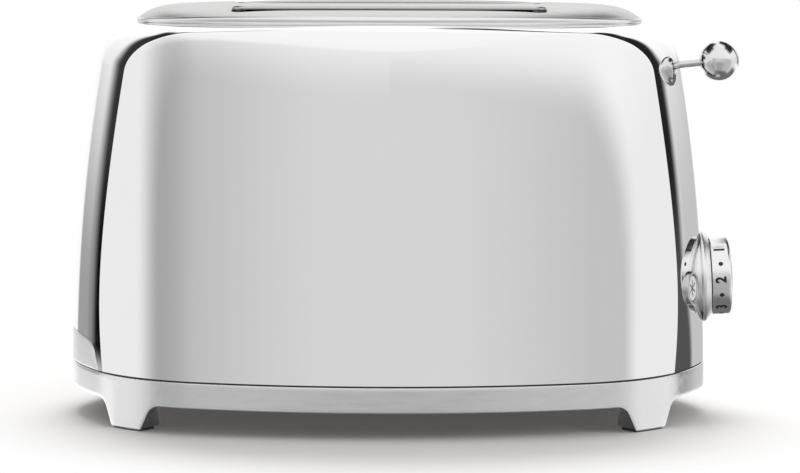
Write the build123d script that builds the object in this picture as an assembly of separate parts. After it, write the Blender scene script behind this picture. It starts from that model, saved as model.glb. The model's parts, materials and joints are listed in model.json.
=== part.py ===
from build123d import *
from functools import lru_cache
from math import cos, degrees, hypot, radians, sin, sqrt, tan
import os

# Retro two-slot toaster, in millimetres.
# X runs along the slots with the lever and the dial at +X, the front faces -Y, and Z is up.
# Every piece is drawn about the middle of the body, from the plane that the rubber pads stand on.
# Then all of them are moved along X, so that the origin lies under the middle of the whole part.

# Clearances shared by neighbouring pieces
moving_gap = 0.3          # between faces that pass each other
slide_gap = 0.5           # round a piece that slides through an opening
running_gap = 0.05        # radial, shaft in its bore
overcut = 1.0             # how far a cutting block runs past the faces that it cuts
tolerance = 0.01          # two places this close are the same

# Body shell: a band bent round the sides and top, met by a domed face at the front and back
body_length = 306.8
body_depth = 194.0
seam_z = 25.0             # top edge of the base
seam_gap = 0.8            # groove between the base and the shell
groove_depth = 0.6
shell_crown_z = 194.5
shell_wall = 1.0
crease_radius = 4.0       # rounding where band and faces meet
side_bow_radius = 880.0   # side of the band, seen from the front
side_plumb_z = 20.0       # height at which that side stands upright
crown_radius = 1600.0     # top of the band, seen from the front
shoulder_radius = 23.0    # between side and top, at the middle
shoulder_growth = 13.0    # how much it has grown where the drawn band ends
side_slope = 0.59         # how fast the side falls back away from its middle, seen from above
side_ease = 30.0          # how softly it starts to
crown_fall_radius = 960.0  # top of the band, seen from the end
face_radius = 320.0       # front face, seen from above
face_arc = 16.5           # degrees each side of the middle that it spans
cheek_radius = 84.0       # the tighter arc beside it
cheek_arc = 58.0          # degrees where that arc ends in a straight run
nose_half_width = 3.0     # what is left between front and back where those runs end
band_stations = (-1, -0.69, -0.42, -0.21, 0, 0.21, 0.42, 0.69, 1)  # shares of its half depth
band_reach = 0.54         # that half depth, as a share of the depth of the body
face_levels = (0, 0.25, 0.5, 0.75, 1)  # shares of its height where the faces' plan is drawn
face_lean = 0.061         # backward lean at the seam, mm per mm of height
face_bow_radius = 1346.0  # and its bow, seen from the end
face_overrun = 6.0        # how far the faces are drawn past the bottom and the top of the band
inner_drop = 5.0          # how far the inside of the shell is drawn below its edge
side_hole_reach = 15.0    # half length of the cutters for the round holes in the side

# Top plate with its two slots
plate_length = 244.0
plate_depth = 136.0
plate_long_radius = 180.0
plate_top_z = 197.9
plate_bow_radius = 1220.0  # its top, seen from the front
plate_lift = 0.2          # gap over the crown of the shell
plate_edge_radius = 0.8
plate_rim_least = 0.6     # thinner than the plate's rim everywhere; parts its top edge from its bottom edge
dome_depth = 20.0         # the block under a dome reaches this far below the skirt
dome_overswing = 1.0      # degrees that it is turned past the plate's edge
neck_inset = 5.0          # skirt under the plate, which carries it
neck_wall = 1.2
slot_length = 150.0
slot_width = 31.0
slot_pitch = 57.0
slot_corner_radius = 6.0
slot_collar_wall = 0.8

# Base moulding, its legs and pads
base_bottom_z = 12.8
base_wall = 2.6
deck_top_z = 19.0
deck_thickness = 2.0
deck_window_margin = 12.0  # deck left at each end of its window
lip_wall = 1.6
lip_height = 5.0
leg_from_end = 32.5       # middle of a leg, in from the end of the body
leg_from_face = 37.4      # and in from its face
leg_bearing = 48.0        # degrees from +X to the outward direction of a leg
leg_root_width = 32.8
leg_foot_width = 20.0
leg_root_radius = 8.0
leg_foot_radius = 1.5
leg_depth = 15.0
pad_thickness = 1.5
pad_inset = 1.5

# Bottom cover and cord entry
cover_thickness = 2.0
cover_vents = 7
vent_pitch = 14.0
vent_width = 4.0
vent_length = 26.0
vent_row_y = 28.0
wrap_post_x = 60.0
wrap_post_radius = 4.0
wrap_post_drop = 8.5
wrap_cap_radius = 7.5
wrap_cap_thickness = 1.6
gland_x = -40.0
gland_from_face = 31.0    # in from the rear face of the body
gland_bore_radius = 3.6
gland_neck_radius = 5.4
gland_flange_radius = 7.5
gland_flange_height = 2.5

# Heating chamber
chamber_length = 176.0    # between the middles of the two end sheets
chamber_depth = 115.6
sheet = 1.0
chassis_top_z = 186.0
foot_flange_width = 6.8
top_flange_width = 9.0
top_flange_depth = 92.0
shield_sheet = 0.6
shield_top_z = 184.0
board_sheet = 0.8
board_bottom_z = 46.0
board_top_z = 182.0
inner_board_y = 4.2       # near face of the inner boards
outer_board_y = 51.8      # near face of the outer boards
ribbon_width = 2.0
ribbon_thickness = 0.3
ribbon_rows = 9
ribbon_pitch = 14.0
ribbon_first_z = 58.0
ribbon_length = 158.0
chute_top_z = 45.0
chute_bottom_z = 37.0
chute_mouth_length = 158.0
chute_mouth_depth = 70.0

# Bread guards: wire racks that lean in and hold the bread
guard_wire_radius = 0.9
guard_bar_radius = 0.8
guard_pivot_z = 48.0
guard_top_z = 175.0
guard_spread = 28.0       # between the two guards of one slot at rest
guard_length = 156.0
guard_bars = 7
guard_hinge_overlap = 1.6  # hinge wire past the end sheet

# Bread lifters and their carriage
lever_travel = 70.0
lifter_top_z = 128.0
lifter_length = 168.0
lifter_width = 16.0
lifter_thickness = 1.2
lifter_window = 9.0
lifter_windows = 9
lifter_web_height = 6.0
lifter_end_margin = 4.0
lifter_rim = 1.2          # left round each window
arm_thickness = 3.0
bracket_gap = 3.5         # from the end sheet to the bracket
bracket_sheet = 1.5
bracket_width = 64.0
bracket_foot_z = 118.0
bracket_bar_height = 12.0
bracket_head_z = 171.0
bracket_neck_width = 40.0
rod_x = 101.0
rod_y = 12.0
rod_radius = 3.0
bush_radius = 4.6
bush_bottom_z = 136.0
bush_length = 25.0
ear_sheet = 1.5
ear_margin = 2.4
seat_radius = 6.0
seat_top_z = 46.0
seat_thickness = 2.0
spring_wire_radius = 0.5
spring_radius = 5.0
spring_turns = 13

# Lever with its ball
stem_radius = 1.75
stem_exit_z = 169.0       # height where the stem leaves the shell
stem_rise = 6.0           # degrees
ball_radius = 9.75
ball_reach = 18.9         # from the shell to the middle of the ball, along the stem
stem_grip = 6.0           # length of stem inside the ball
lever_slot_width = 5.0
lever_slot_end_gap = 6.0  # slot beyond the stem at both ends
baffle_width = 17.0
baffle_thickness = 1.0
baffle_gap = 0.2          # bed of glue between it and the shell
baffle_margin = 7.0
baffle_reveal = 0.2       # how much narrower its slot is, each side

# Latch magnet
armature_y = -23.0
armature_width = 14.0
armature_length = 15.0
armature_thickness = 2.5
magnet_gap = 0.3
magnet_start = 2.0        # from the bracket's face out to the core
coil_height = 16.0
coil_thickness = 3.0
coil_lift = 6.0

# Browning dial
dial_z = 66.0
dial_radius = 19.0
dial_height = 9.5
dial_edge_radius = 1.8
dial_skirt_wall = 2.0
dial_hub_wall = 2.0
dial_floor = 3.0
dial_crown = 0.5
dial_gap = 0.4            # between the dial and its escutcheon
escutcheon_radius = 22.0
escutcheon_height = 3.6
escutcheon_land = 0.8
escutcheon_taper = 2.6
escutcheon_edge = 1.4      # height of the outer wall of the ring
escutcheon_seat_radius = 13.0  # middle of the ring's underside, where it meets the shell
escutcheon_seat_drop = 2.0
escutcheon_root = 4.0
escutcheon_well_depth = 2.0
escutcheon_well_slope = 1.0
shaft_radius = 3.0
dial_bush_radius = 5.0
dial_bush_length = 12.0
neck_radius = 8.0
neck_hole_gap = 0.2
board_offset = 30.0       # from the shell in to the control board
pot_radius = 10.0
pot_height = 9.0
pot_floor = 1.2
cancel_radius = 8.0
cancel_proud = 0.5
cancel_height = 5.0
cancel_edge_radius = 0.8
button_travel = 1.5

# Side buttons with their bezels
button_y = 30.0
button_z = 63.8
bezel_radius = 8.2
bezel_proud = 1.5
bezel_root = 3.0
bezel_body_depth = 7.5
bezel_edge_radius = 0.7
bezel_body_wall = 1.2
button_radius = 6.2
button_proud = 1.0
button_cap_depth = 3.5
button_edge_radius = 0.6
button_stem_radius = 2.0
button_stem_length = 14.0
switch_size = 9.0

# Control board
board_width = 78.0
board_top_above_dial = 22.0
board_thickness = 1.6
relay_y = 6.0
relay_size = 14.0
relay_depth = 9.0
relay_drop = 14.0         # below the dial shaft
capacitor_radius = 5.0

# Crumb tray
tray_half_width = 38.2
tray_floor_z = 27.3
tray_depth = 6.0
tray_wall = 0.8
tray_front_wall = 6.0     # block behind the grip
tray_inner_end = 80.0     # X of its inner end
tray_travel = 240.0
runner_sheet = 1.0
runner_ledge = 5.0
runner_overhang = 34.0    # rails beyond the left end sheet
grip_proud = 0.3
grip_thickness = 3.0
grip_foot_half_width = 46.0
grip_shoulder_half_width = 42.6
grip_shoulder_z = 32.0
grip_corner_half_width = 33.0
grip_corner_z = 39.3
grip_bend_across = 0.70   # point that the curve to its corner passes, as shares of the way there
grip_bend_up = 0.64
grip_top_z = 41.0
grip_gap = 0.4

# Terminal block and fasteners
terminal_x = -107.0
terminal_y = 45.0
terminal_length = 22.0
terminal_width = 12.0
terminal_height = 14.0
terminal_poles = 3
terminal_pole_pitch = 7.0
terminal_pole_radius = 2.2
terminal_pole_height = 2.0
screw_radius = 1.5
screw_head_radius = 3.2
screw_head_height = 1.4
cover_screw_x = 80.0
cover_screw_y = 60.0
chassis_screw_y = 48.0

# Places worked out from the sizes above
shell_bottom_z = seam_z + seam_gap
deck_bottom_z = deck_top_z - deck_thickness
cover_bottom_z = deck_bottom_z - cover_thickness
chamber_half = chamber_length / 2
end_inside = chamber_half - sheet / 2
end_outside = chamber_half + sheet / 2
end_depth = chamber_depth / 2
slot_y = slot_pitch / 2
bracket_x = end_outside + bracket_gap
bracket_face_x = bracket_x + bracket_sheet
runner_y = tray_half_width + slide_gap
gland_y = body_depth / 2 - gland_from_face


def block(x0, x1, y0, y1, z0, z1):
    """A box between two corners."""
    middle = Pos((x0 + x1) / 2, (y0 + y1) / 2, (z0 + z1) / 2)
    return middle * Box(x1 - x0, y1 - y0, z1 - z0)


def rod(radius, z0, z1):
    """An upright cylinder from z0 to z1."""
    upright = (Align.CENTER, Align.CENTER, Align.MIN)
    return Pos(0, 0, z0) * Cylinder(radius, z1 - z0, align=upright)


def tube(outer, inner, z0, z1):
    """An upright pipe from z0 to z1."""
    return rod(outer, z0, z1) - rod(inner, z0 - overcut, z1 + overcut)


def wire_between(start, end, radius):
    """A straight round wire between two points."""
    line = Vector(*end) - Vector(*start)
    return Plane(origin=start, z_dir=line).location * rod(radius, 0, line.length)


def face_setback(z):
    """How far the front face has leaned back at a height."""
    rise = z - seam_z
    return face_lean * rise + rise * rise / (2 * face_bow_radius)


def side_setback(y):
    """How far the side has fallen back at a distance from its middle: a hyperbola."""
    return side_slope * (hypot(y, side_ease) - side_ease)


def crown_setback(y):
    """How far the top has dropped at a distance from its middle."""
    return y * y / (2 * crown_fall_radius)


def on_circle(centre, towards, radius):
    """The point of a circle that lies in the direction of another point."""
    dx = towards[0] - centre[0]
    dz = towards[1] - centre[1]
    reach = radius / hypot(dx, dz)
    return (centre[0] + dx * reach, centre[1] + dz * reach)


def upper_meeting(centre_a, radius_a, centre_b, radius_b):
    """Where two circles meet, on the side with the greater X."""
    dx = centre_b[0] - centre_a[0]
    dz = centre_b[1] - centre_a[1]
    apart = hypot(dx, dz)
    along = (radius_a**2 - radius_b**2 + apart**2) / (2 * apart)
    off = sqrt(radius_a**2 - along**2)
    ends = []
    for turn in (1, -1):
        x = centre_a[0] + (along * dx + turn * off * dz) / apart
        z = centre_a[1] + (along * dz - turn * off * dx) / apart
        ends.append((x, z))
    return max(ends)


def band_section(y, inset, bottom):
    """The arch of the band at one depth: a bowed side, a shoulder, the crown, and back."""
    half = body_length / 2 - side_setback(y) - inset
    top = shell_crown_z - crown_setback(y) - inset
    side_centre = (half - side_bow_radius, side_plumb_z)
    crown_centre = (0, top - crown_radius)
    shoulder = shoulder_radius + shoulder_growth * (y / (body_depth * band_reach))**2 - inset
    centre = upper_meeting(side_centre, side_bow_radius - shoulder, crown_centre, crown_radius - shoulder)
    side_end = on_circle(side_centre, centre, side_bow_radius)
    crown_end = on_circle(crown_centre, centre, crown_radius)
    chord_middle = ((side_end[0] + crown_end[0]) / 2, (side_end[1] + crown_end[1]) / 2)
    shoulder_middle = on_circle(centre, chord_middle, shoulder)
    drop = bottom - side_plumb_z
    foot = (side_centre[0] + sqrt(side_bow_radius**2 - drop**2), bottom)
    side_chord_middle = ((foot[0] + side_end[0]) / 2, (foot[1] + side_end[1]) / 2)
    side_middle = on_circle(side_centre, side_chord_middle, side_bow_radius)

    def right(p):
        return (p[0], y, p[1])

    def left(p):
        return (-p[0], y, p[1])

    return Wire([
        Line(left(foot), right(foot)),
        ThreePointArc(right(foot), right(side_middle), right(side_end)),
        ThreePointArc(right(side_end), right(shoulder_middle), right(crown_end)),
        ThreePointArc(right(crown_end), (0, y, top), left(crown_end)),
        ThreePointArc(left(crown_end), left(shoulder_middle), left(side_end)),
        ThreePointArc(left(side_end), left(side_middle), left(foot)),
    ])


def faces_section(z, inset):
    """The plan of the two domed faces at one height, run out to a point beyond each side."""
    half = body_depth / 2 - face_setback(z) - inset
    first = radians(face_arc)
    last = radians(cheek_arc)

    def cheek(angle):
        x = face_radius * sin(first) + cheek_radius * (sin(angle) - sin(first))
        y = face_radius * (1 - cos(first)) + cheek_radius * (cos(first) - cos(angle))
        return (x, y - half)

    start, middle, end = cheek(first), cheek((first + last) / 2), cheek(last)
    tip = (end[0] - (nose_half_width + end[1]) / tan(last), -nose_half_width)

    def turned(p, x_sign, y_sign):
        return (x_sign * p[0], y_sign * p[1], z)

    edges = []
    for y_sign in (1, -1):
        left = [turned(p, -y_sign, y_sign) for p in (start, middle, end, tip)]
        right = [turned(p, y_sign, y_sign) for p in (start, middle, end, tip)]
        edges += [
            Line(left[3], left[2]),
            ThreePointArc(left[2], left[1], left[0]),
            ThreePointArc(left[0], (0, -y_sign * half, z), right[0]),
            ThreePointArc(right[0], right[1], right[2]),
            Line(right[2], right[3]),
            Line(right[3], (right[3][0], -right[3][1], z)),
        ]
    return Wire(edges)


@lru_cache(maxsize=None)
def body_solid(inset, bottom, rounding=0.0):
    """The whole body inside an inset: the band cut by the two domed faces."""
    reach = body_depth * band_reach
    band = Solid.make_loft([band_section(reach * share, inset, bottom) for share in band_stations])
    low = bottom - face_overrun
    high = shell_crown_z + face_overrun
    faces = Solid.make_loft([faces_section(low + (high - low) * share, inset) for share in face_levels])
    body = band & faces
    if rounding > 0:
        body = fillet(crease_edges(body, bottom), rounding)
    return body


def crease_edges(body, bottom):
    """The edges between band and faces: clear of the bottom, of the middle and of the face seams."""
    seam_x = face_radius * sin(radians(face_arc))
    chosen = []
    for edge in body.edges():
        start, middle, end = edge @ 0, edge @ 0.5, edge @ 1
        upright_seam = abs(abs(start.X) - seam_x) < tolerance and abs(abs(end.X) - seam_x) < tolerance
        on_bottom = max(start.Z, end.Z) < bottom + tolerance
        if not upright_seam and not on_bottom and abs(middle.Y) > side_ease:
            chosen.append(edge)
    return ShapeList(chosen)


@lru_cache(maxsize=None)
def footprint(inset):
    """The outline of the body at the seam, inside an inset."""
    return Face(body_solid(inset, seam_z).faces().sort_by(Axis.Z)[0].outer_wire())


def plan_block(inset, z0, z1):
    """An upright block with the body's footprint inside an inset."""
    return Pos(0, 0, z0 - seam_z) * extrude(footprint(inset), amount=z1 - z0, dir=(0, 0, 1))


def side_half(y, z):
    """X of the band's outer face at a place on the side."""
    rise = z - side_plumb_z
    half = body_length / 2 - side_setback(y)
    return half - side_bow_radius + sqrt(side_bow_radius**2 - rise**2)


def side_frame(y, z):
    """A frame on the right side with its Z square to the shell, its X level and its Y upward."""
    rise = z - side_plumb_z
    lean_in = rise / sqrt(side_bow_radius**2 - rise**2)
    swing = side_slope * y / hypot(y, side_ease)
    outward = Vector(1, swing, lean_in)
    level = Vector(0, 0, 1).cross(outward)
    return Plane(origin=(side_half(y, z), y, z), x_dir=level, z_dir=outward).location


def oval(length, depth, long_radius):
    """A flat oval of four tangent arcs: long ones at front and back, short ones at the ends."""
    a = length / 2
    b = depth / 2
    end_radius = (2 * long_radius * b - b * b - a * a) / (2 * (long_radius - a))
    reach = (a - end_radius) / (long_radius - end_radius)
    x = long_radius * reach
    y = long_radius * sqrt(1 - reach**2) - (long_radius - b)
    return make_face([
        ThreePointArc((-x, -y), (0, -b), (x, -y)),
        ThreePointArc((x, -y), (a, 0), (x, y)),
        ThreePointArc((x, y), (0, b), (-x, y)),
        ThreePointArc((-x, y), (-a, 0), (-x, -y)),
    ])


def plate_oval(inset, z0, z1):
    """An upright block with the top plate's outline inside an inset."""
    outline = oval(plate_length - 2 * inset, plate_depth - 2 * inset, plate_long_radius - inset)
    return Pos(0, 0, z0) * extrude(outline, amount=z1 - z0)


def slot_block(margin, z0, z1):
    """Two upright blocks with the outline of the slots and a margin round them."""
    outline = RectangleRounded(slot_length + 2 * margin, slot_width + 2 * margin, slot_corner_radius + margin)
    pillar = Pos(0, 0, z0) * extrude(outline, amount=z1 - z0)
    return Pos(0, slot_y, 0) * pillar + Pos(0, -slot_y, 0) * pillar


def is_upper_edge(edge):
    """Whether an edge of the top plate lies on its upper side and isn't an upright one."""
    place = edge @ 0.5
    crown = shell_crown_z - crown_radius + sqrt(crown_radius**2 - place.X**2) - crown_setback(place.Y)
    return place.Z > crown + plate_lift + plate_rim_least and abs((edge % 0.5).Z) < sin(radians(45))


def lever_slot(width, end_gap, x0, x1):
    """The upright slot that the lever's stem travels in, as a block through the side."""
    top = stem_exit_z + end_gap + stem_radius
    bottom = stem_exit_z - lever_travel - end_gap - stem_radius
    outline = SlotOverall(top - bottom, width, rotation=90)
    bar = extrude(Plane.YZ * outline, amount=x1 - x0, dir=(1, 0, 0))
    return Pos(x0, 0, (top + bottom) / 2) * bar


def grip_outline(margin):
    """The arched outline of the crumb tray's grip in the YZ plane, grown by a margin."""
    foot = grip_foot_half_width + margin
    shoulder = grip_shoulder_half_width + margin
    corner = grip_corner_half_width + margin * sqrt(0.5)
    corner_z = grip_corner_z + margin * sqrt(0.5)
    bend_x = corner + (shoulder - corner) * grip_bend_across
    bend_z = grip_shoulder_z + (corner_z - grip_shoulder_z) * grip_bend_up
    low = seam_z + grip_gap - margin
    edges = [Line((-foot, low), (foot, low))]
    edges.append(Line((foot, low), (shoulder, grip_shoulder_z)))
    edges.append(ThreePointArc((shoulder, grip_shoulder_z), (bend_x, bend_z), (corner, corner_z)))
    edges.append(ThreePointArc((corner, corner_z), (0, grip_top_z + margin), (-corner, corner_z)))
    edges.append(ThreePointArc((-corner, corner_z), (-bend_x, bend_z), (-shoulder, grip_shoulder_z)))
    edges.append(Line((-shoulder, grip_shoulder_z), (-foot, low)))
    return make_face(edges)


def grip_block(margin):
    """The grip's outline carried through the left side of the body."""
    bar = extrude(Plane.YZ * grip_outline(margin), amount=body_length / 2, dir=(-1, 0, 0))
    return Pos(-body_length / 4, 0, 0) * bar


def outer_shell():
    """Pressed steel shell, open below, with its openings."""
    shell = body_solid(0, shell_bottom_z, crease_radius)
    shell -= body_solid(shell_wall, shell_bottom_z - inner_drop, crease_radius - shell_wall)
    shell -= plate_oval(neck_inset - slide_gap, board_top_z, plate_top_z + overcut)
    shell -= lever_slot(lever_slot_width, lever_slot_end_gap, chamber_half, body_length)
    shell -= grip_block(grip_gap)
    shell -= side_frame(0, dial_z) * rod(neck_radius + neck_hole_gap, -side_hole_reach, side_hole_reach)
    for y in (-button_y, button_y):
        hole = button_radius + moving_gap + bezel_body_wall + neck_hole_gap
        shell -= side_frame(y, button_z) * rod(hole, -side_hole_reach, side_hole_reach)
    return shell


def under_dome(top, radius, low):
    """Everything under a dome: a long arch turned about a line that lies as deep as the crown's fall."""
    reach = plate_length / 2 + overcut
    shoulder = top - radius + sqrt(radius**2 - reach**2)
    outline = make_face([
        Line((-reach, low), (-reach, shoulder)),
        ThreePointArc((-reach, shoulder), (0, top), (reach, shoulder)),
        Line((reach, shoulder), (reach, low)),
        Line((reach, low), (-reach, low)),
    ])
    swing = degrees(plate_depth / 2 / crown_fall_radius) + dome_overswing
    turning_line = Axis((0, 0, top - crown_fall_radius), (1, 0, 0))
    start = Plane.XZ * outline
    return revolve(start.rotate(turning_line, -swing), turning_line, 2 * swing)


def plate_underside(lift):
    """Everything under the plate, or that far up into it."""
    return under_dome(shell_crown_z + plate_lift + lift, crown_radius, chassis_top_z - dome_depth)


def top_plate():
    """Brushed oval plate, slightly domed, on a skirt."""
    low = chassis_top_z
    high = plate_top_z + overcut
    through = (low - overcut, high + overcut)
    dome = under_dome(plate_top_z, plate_bow_radius, low - dome_depth)
    plate = (plate_oval(0, low, high) & dome) - plate_underside(0) - slot_block(0, *through)
    plate = fillet(plate.edges().filter_by(is_upper_edge), plate_edge_radius)
    skirt = plate_oval(neck_inset, low, high) - plate_oval(neck_inset + neck_wall, *through)
    return plate + (skirt & plate_underside(plate_rim_least))


def slot_collars():
    """Thin collar that hangs from the plate round each slot."""
    low = chassis_top_z
    high = plate_top_z + overcut
    collars = slot_block(slot_collar_wall, low, high) - slot_block(0, low - overcut, high + overcut)
    return collars & plate_underside(0)


def leg_profile():
    """A leg seen square on: a wide root that sweeps in to a narrow foot."""
    root = leg_root_width / 2
    foot = leg_foot_width / 2
    wide = root + leg_root_radius * 2
    outline = make_face(Polyline(
        (-foot, pad_thickness), (foot, pad_thickness), (root, base_bottom_z), (wide, base_bottom_z),
        (wide, deck_bottom_z), (-wide, deck_bottom_z), (-wide, base_bottom_z), (-root, base_bottom_z),
        close=True,
    ))
    corners = outline.vertices().filter_by(lambda v: abs(v.Y - base_bottom_z) < tolerance)
    roots = corners.filter_by(lambda v: abs(abs(v.X) - root) < tolerance)
    outline = fillet(roots, leg_root_radius)
    feet = outline.vertices().filter_by(lambda v: abs(v.Y - pad_thickness) < tolerance)
    return fillet(feet, leg_foot_radius)


def at_legs(piece):
    """A piece made in the frame of a leg, X outward and Y along the outline, put at all four corners."""
    x = body_length / 2 - leg_from_end
    y = body_depth / 2 - leg_from_face
    placed = []
    for x_sign in (1, -1):
        for y_sign in (1, -1):
            bearing = leg_bearing if x_sign > 0 else 180 - leg_bearing
            placed.append(Pos(x_sign * x, y_sign * y, 0) * Rot(0, 0, y_sign * bearing) * piece)
    return placed


def leg_prisms():
    """The four legs as bars through the rim of the base."""
    profile = extrude(Plane.YZ * leg_profile(), amount=2 * leg_depth, both=True)
    return at_legs(profile)


def base_moulding():
    """Base band with its legs, the deck inside it and the lip that the shell drops over."""
    lip_top = shell_bottom_z + lip_height
    lip_inset = shell_wall + moving_gap + face_setback(lip_top)
    reach = body_length
    mask = block(-reach, reach, -reach, reach, base_bottom_z, seam_z)
    for leg in leg_prisms():
        mask += leg
    base = plan_block(0, pad_thickness, seam_z) & mask
    steps = plan_block(groove_depth, seam_z, shell_bottom_z) + plan_block(lip_inset, shell_bottom_z, lip_top)
    way_half = grip_foot_half_width + 2 * grip_gap
    steps -= block(-reach, -chamber_half, -way_half, way_half, seam_z, lip_top + overcut)
    base += steps
    base -= plan_block(lip_inset + lip_wall, deck_top_z, lip_top + overcut)
    under = plan_block(base_wall, 0, deck_bottom_z)
    for leg in leg_prisms():
        under -= leg
    base -= under
    base -= plan_block(leg_depth, 0, deck_bottom_z)
    window_x = chamber_half - deck_window_margin
    through_deck = (deck_bottom_z - overcut, deck_top_z + overcut)
    base -= block(-window_x, window_x, -tray_half_width, tray_half_width, *through_deck)
    base -= Pos(gland_x, gland_y, 0) * rod(gland_neck_radius, *through_deck)
    for place in cover_screw_places() + chassis_screw_places():
        base -= place * rod(screw_radius, *through_deck)
    return base


def cover_screw_places():
    """Where the bottom cover is screwed on."""
    return [Pos(x, y, 0) for x in (-cover_screw_x, cover_screw_x) for y in (-cover_screw_y, cover_screw_y)]


def chassis_screw_places():
    """Where the end sheets are screwed down through their foot flanges."""
    x = end_outside + foot_flange_width / 2
    return [Pos(sx, sy, 0) for sx in (-x, x) for sy in (-chassis_screw_y, chassis_screw_y)]


def foot_pads():
    """Four rubber pads under the legs."""
    inner = plan_block(leg_depth - pad_inset, -overcut, pad_thickness + overcut)
    rim = plan_block(pad_inset, 0, pad_thickness) - inner
    half = leg_foot_width / 2 - pad_inset
    window = block(-2 * leg_depth, 2 * leg_depth, -half, half, -overcut, pad_thickness + overcut)
    pads = [rim & place for place in at_legs(window)]
    return pads[0] + pads[1] + pads[2] + pads[3]


def bottom_cover():
    """Flat cover under the deck with vents."""
    cover = plan_block(leg_depth + slide_gap, cover_bottom_z, deck_bottom_z)
    first = -(cover_vents - 1) / 2 * vent_pitch
    vent = extrude(SlotOverall(vent_length, vent_width, rotation=90), amount=cover_thickness + 2 * overcut)
    for index in range(cover_vents):
        for y in (-vent_row_y, vent_row_y):
            cover -= Pos(first + index * vent_pitch, y, cover_bottom_z - overcut) * vent
    cover -= Pos(gland_x, gland_y, 0) * rod(gland_neck_radius, cover_bottom_z - overcut, deck_top_z)
    for place in cover_screw_places():
        cover -= place * rod(screw_radius, cover_bottom_z - overcut, deck_top_z)
    return cover


def wrap_posts():
    """Two capped posts on the cover to wind the cord on."""
    low = cover_bottom_z - wrap_post_drop
    post = rod(wrap_post_radius, low, cover_bottom_z)
    post += rod(wrap_cap_radius, low, low + wrap_cap_thickness)
    return Compound(children=[Pos(x, 0, 0) * post for x in (-wrap_post_x, wrap_post_x)])


def cord_gland():
    """Rubber bush that grips the edges of the cover and the deck round the cord's way in."""
    low = cover_bottom_z - gland_flange_height
    high = deck_top_z + gland_flange_height
    gland = rod(gland_neck_radius, low, high)
    gland += rod(gland_flange_radius, low, cover_bottom_z)
    gland += rod(gland_flange_radius, deck_top_z, high)
    gland -= rod(gland_bore_radius, low - overcut, high + overcut)
    return Pos(gland_x, gland_y, 0) * gland


def screws(places, seat_z, tip_z):
    """Pan-head screws that run from a seat down or up to their tips."""
    head_end = seat_z + screw_head_height if tip_z < seat_z else seat_z - screw_head_height
    shank = rod(screw_radius, min(seat_z, tip_z), max(seat_z, tip_z))
    head = rod(screw_head_radius, min(seat_z, head_end), max(seat_z, head_end))
    return Compound(children=[place * (shank + head) for place in places])


def guard_places():
    """Y of the four guards at rest, with the direction that each leans in."""
    half = guard_spread / 2
    return {
        "guard_outer_front": (-slot_y - half, 1),
        "guard_inner_front": (-slot_y + half, -1),
        "guard_inner_rear": (slot_y - half, 1),
        "guard_outer_rear": (slot_y + half, -1),
    }


def end_sheet():
    """An end sheet of the heating chamber with its folded flanges, on the right side."""
    half_top = top_flange_depth / 2
    piece = block(end_inside, end_outside, -end_depth, end_depth, deck_top_z, shield_top_z)
    piece += block(end_inside, end_outside, -half_top, half_top, shield_top_z, chassis_top_z)
    foot_end = end_outside + foot_flange_width
    piece += block(end_outside, foot_end, -end_depth, end_depth, deck_top_z, deck_top_z + sheet)
    top_end = end_outside + top_flange_width
    piece += block(end_outside, top_end, -half_top, half_top, chassis_top_z - sheet, chassis_top_z)
    for y, _ in guard_places().values():
        hole = rod(guard_wire_radius + running_gap, 0, sheet + 2 * overcut)
        piece -= Pos(end_inside - overcut, y, guard_pivot_z) * Rot(0, 90, 0) * hole
    for y in (-chassis_screw_y, chassis_screw_y):
        place = Pos(end_outside + foot_flange_width / 2, y, deck_top_z - overcut)
        piece -= place * rod(screw_radius, 0, sheet + 2 * overcut)
    return piece


def chassis_right():
    """Right end sheet, with ways for the lifter arms and an ear for the guide rod."""
    ear_end = rod_x + rod_radius + ear_margin
    ear_half = rod_radius + ear_margin
    piece = end_sheet()
    ear_low = chassis_top_z - sheet
    piece += block(end_outside, ear_end, rod_y - ear_half, rod_y + ear_half, ear_low, chassis_top_z)
    piece -= Pos(rod_x, rod_y, 0) * rod(rod_radius, shield_top_z, chassis_top_z + overcut)
    low = lifter_top_z - lifter_web_height - lever_travel - 2 * slide_gap
    high = lifter_top_z + 2 * slide_gap
    way = arm_thickness / 2 + slide_gap
    for y in (-slot_y, slot_y):
        piece -= block(end_inside - overcut, end_outside + overcut, y - way, y + way, low, high)
    return piece


def chassis_left():
    """Left end sheet, with the way that the crumb tray and its runners pass through."""
    piece = Rot(0, 0, 180) * end_sheet()
    half = runner_y + runner_sheet
    low = tray_floor_z - moving_gap - runner_sheet
    high = tray_floor_z + tray_depth + 2 * slide_gap
    piece -= block(-end_outside - overcut, -end_inside + overcut, -half, half, low, high)
    return piece


def heat_shield(side):
    """A plain sheet behind the outer boards that keeps the heat off the shell."""
    near = side * (end_depth - shield_sheet)
    far = side * end_depth
    return block(-end_inside, end_inside, min(near, far), max(near, far), deck_top_z, shield_top_z)


def crumb_chute():
    """Hopper under the elements that steers crumbs on to the tray."""
    gap = end_depth - shield_sheet
    top = Rectangle(2 * end_inside, 2 * gap)
    mouth = Rectangle(chute_mouth_length, chute_mouth_depth)
    outer = loft([Pos(0, 0, chute_bottom_z) * mouth, Pos(0, 0, chute_top_z) * top])
    wall = 2 * shield_sheet
    low = chute_bottom_z - tolerance
    high = chute_top_z + tolerance
    inner_top = Rectangle(2 * end_inside - wall, 2 * gap - wall)
    inner_mouth = Rectangle(chute_mouth_length - wall, chute_mouth_depth - wall)
    return outer - loft([Pos(0, 0, low) * inner_mouth, Pos(0, 0, high) * inner_top])


def board_places():
    """Y of the face of each board that carries its ribbon, with the side that it looks to."""
    return {
        "outer_front": (-outer_board_y, 1),
        "inner_front": (-inner_board_y - board_sheet, -1),
        "inner_rear": (inner_board_y + board_sheet, 1),
        "outer_rear": (outer_board_y, -1),
    }


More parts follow.
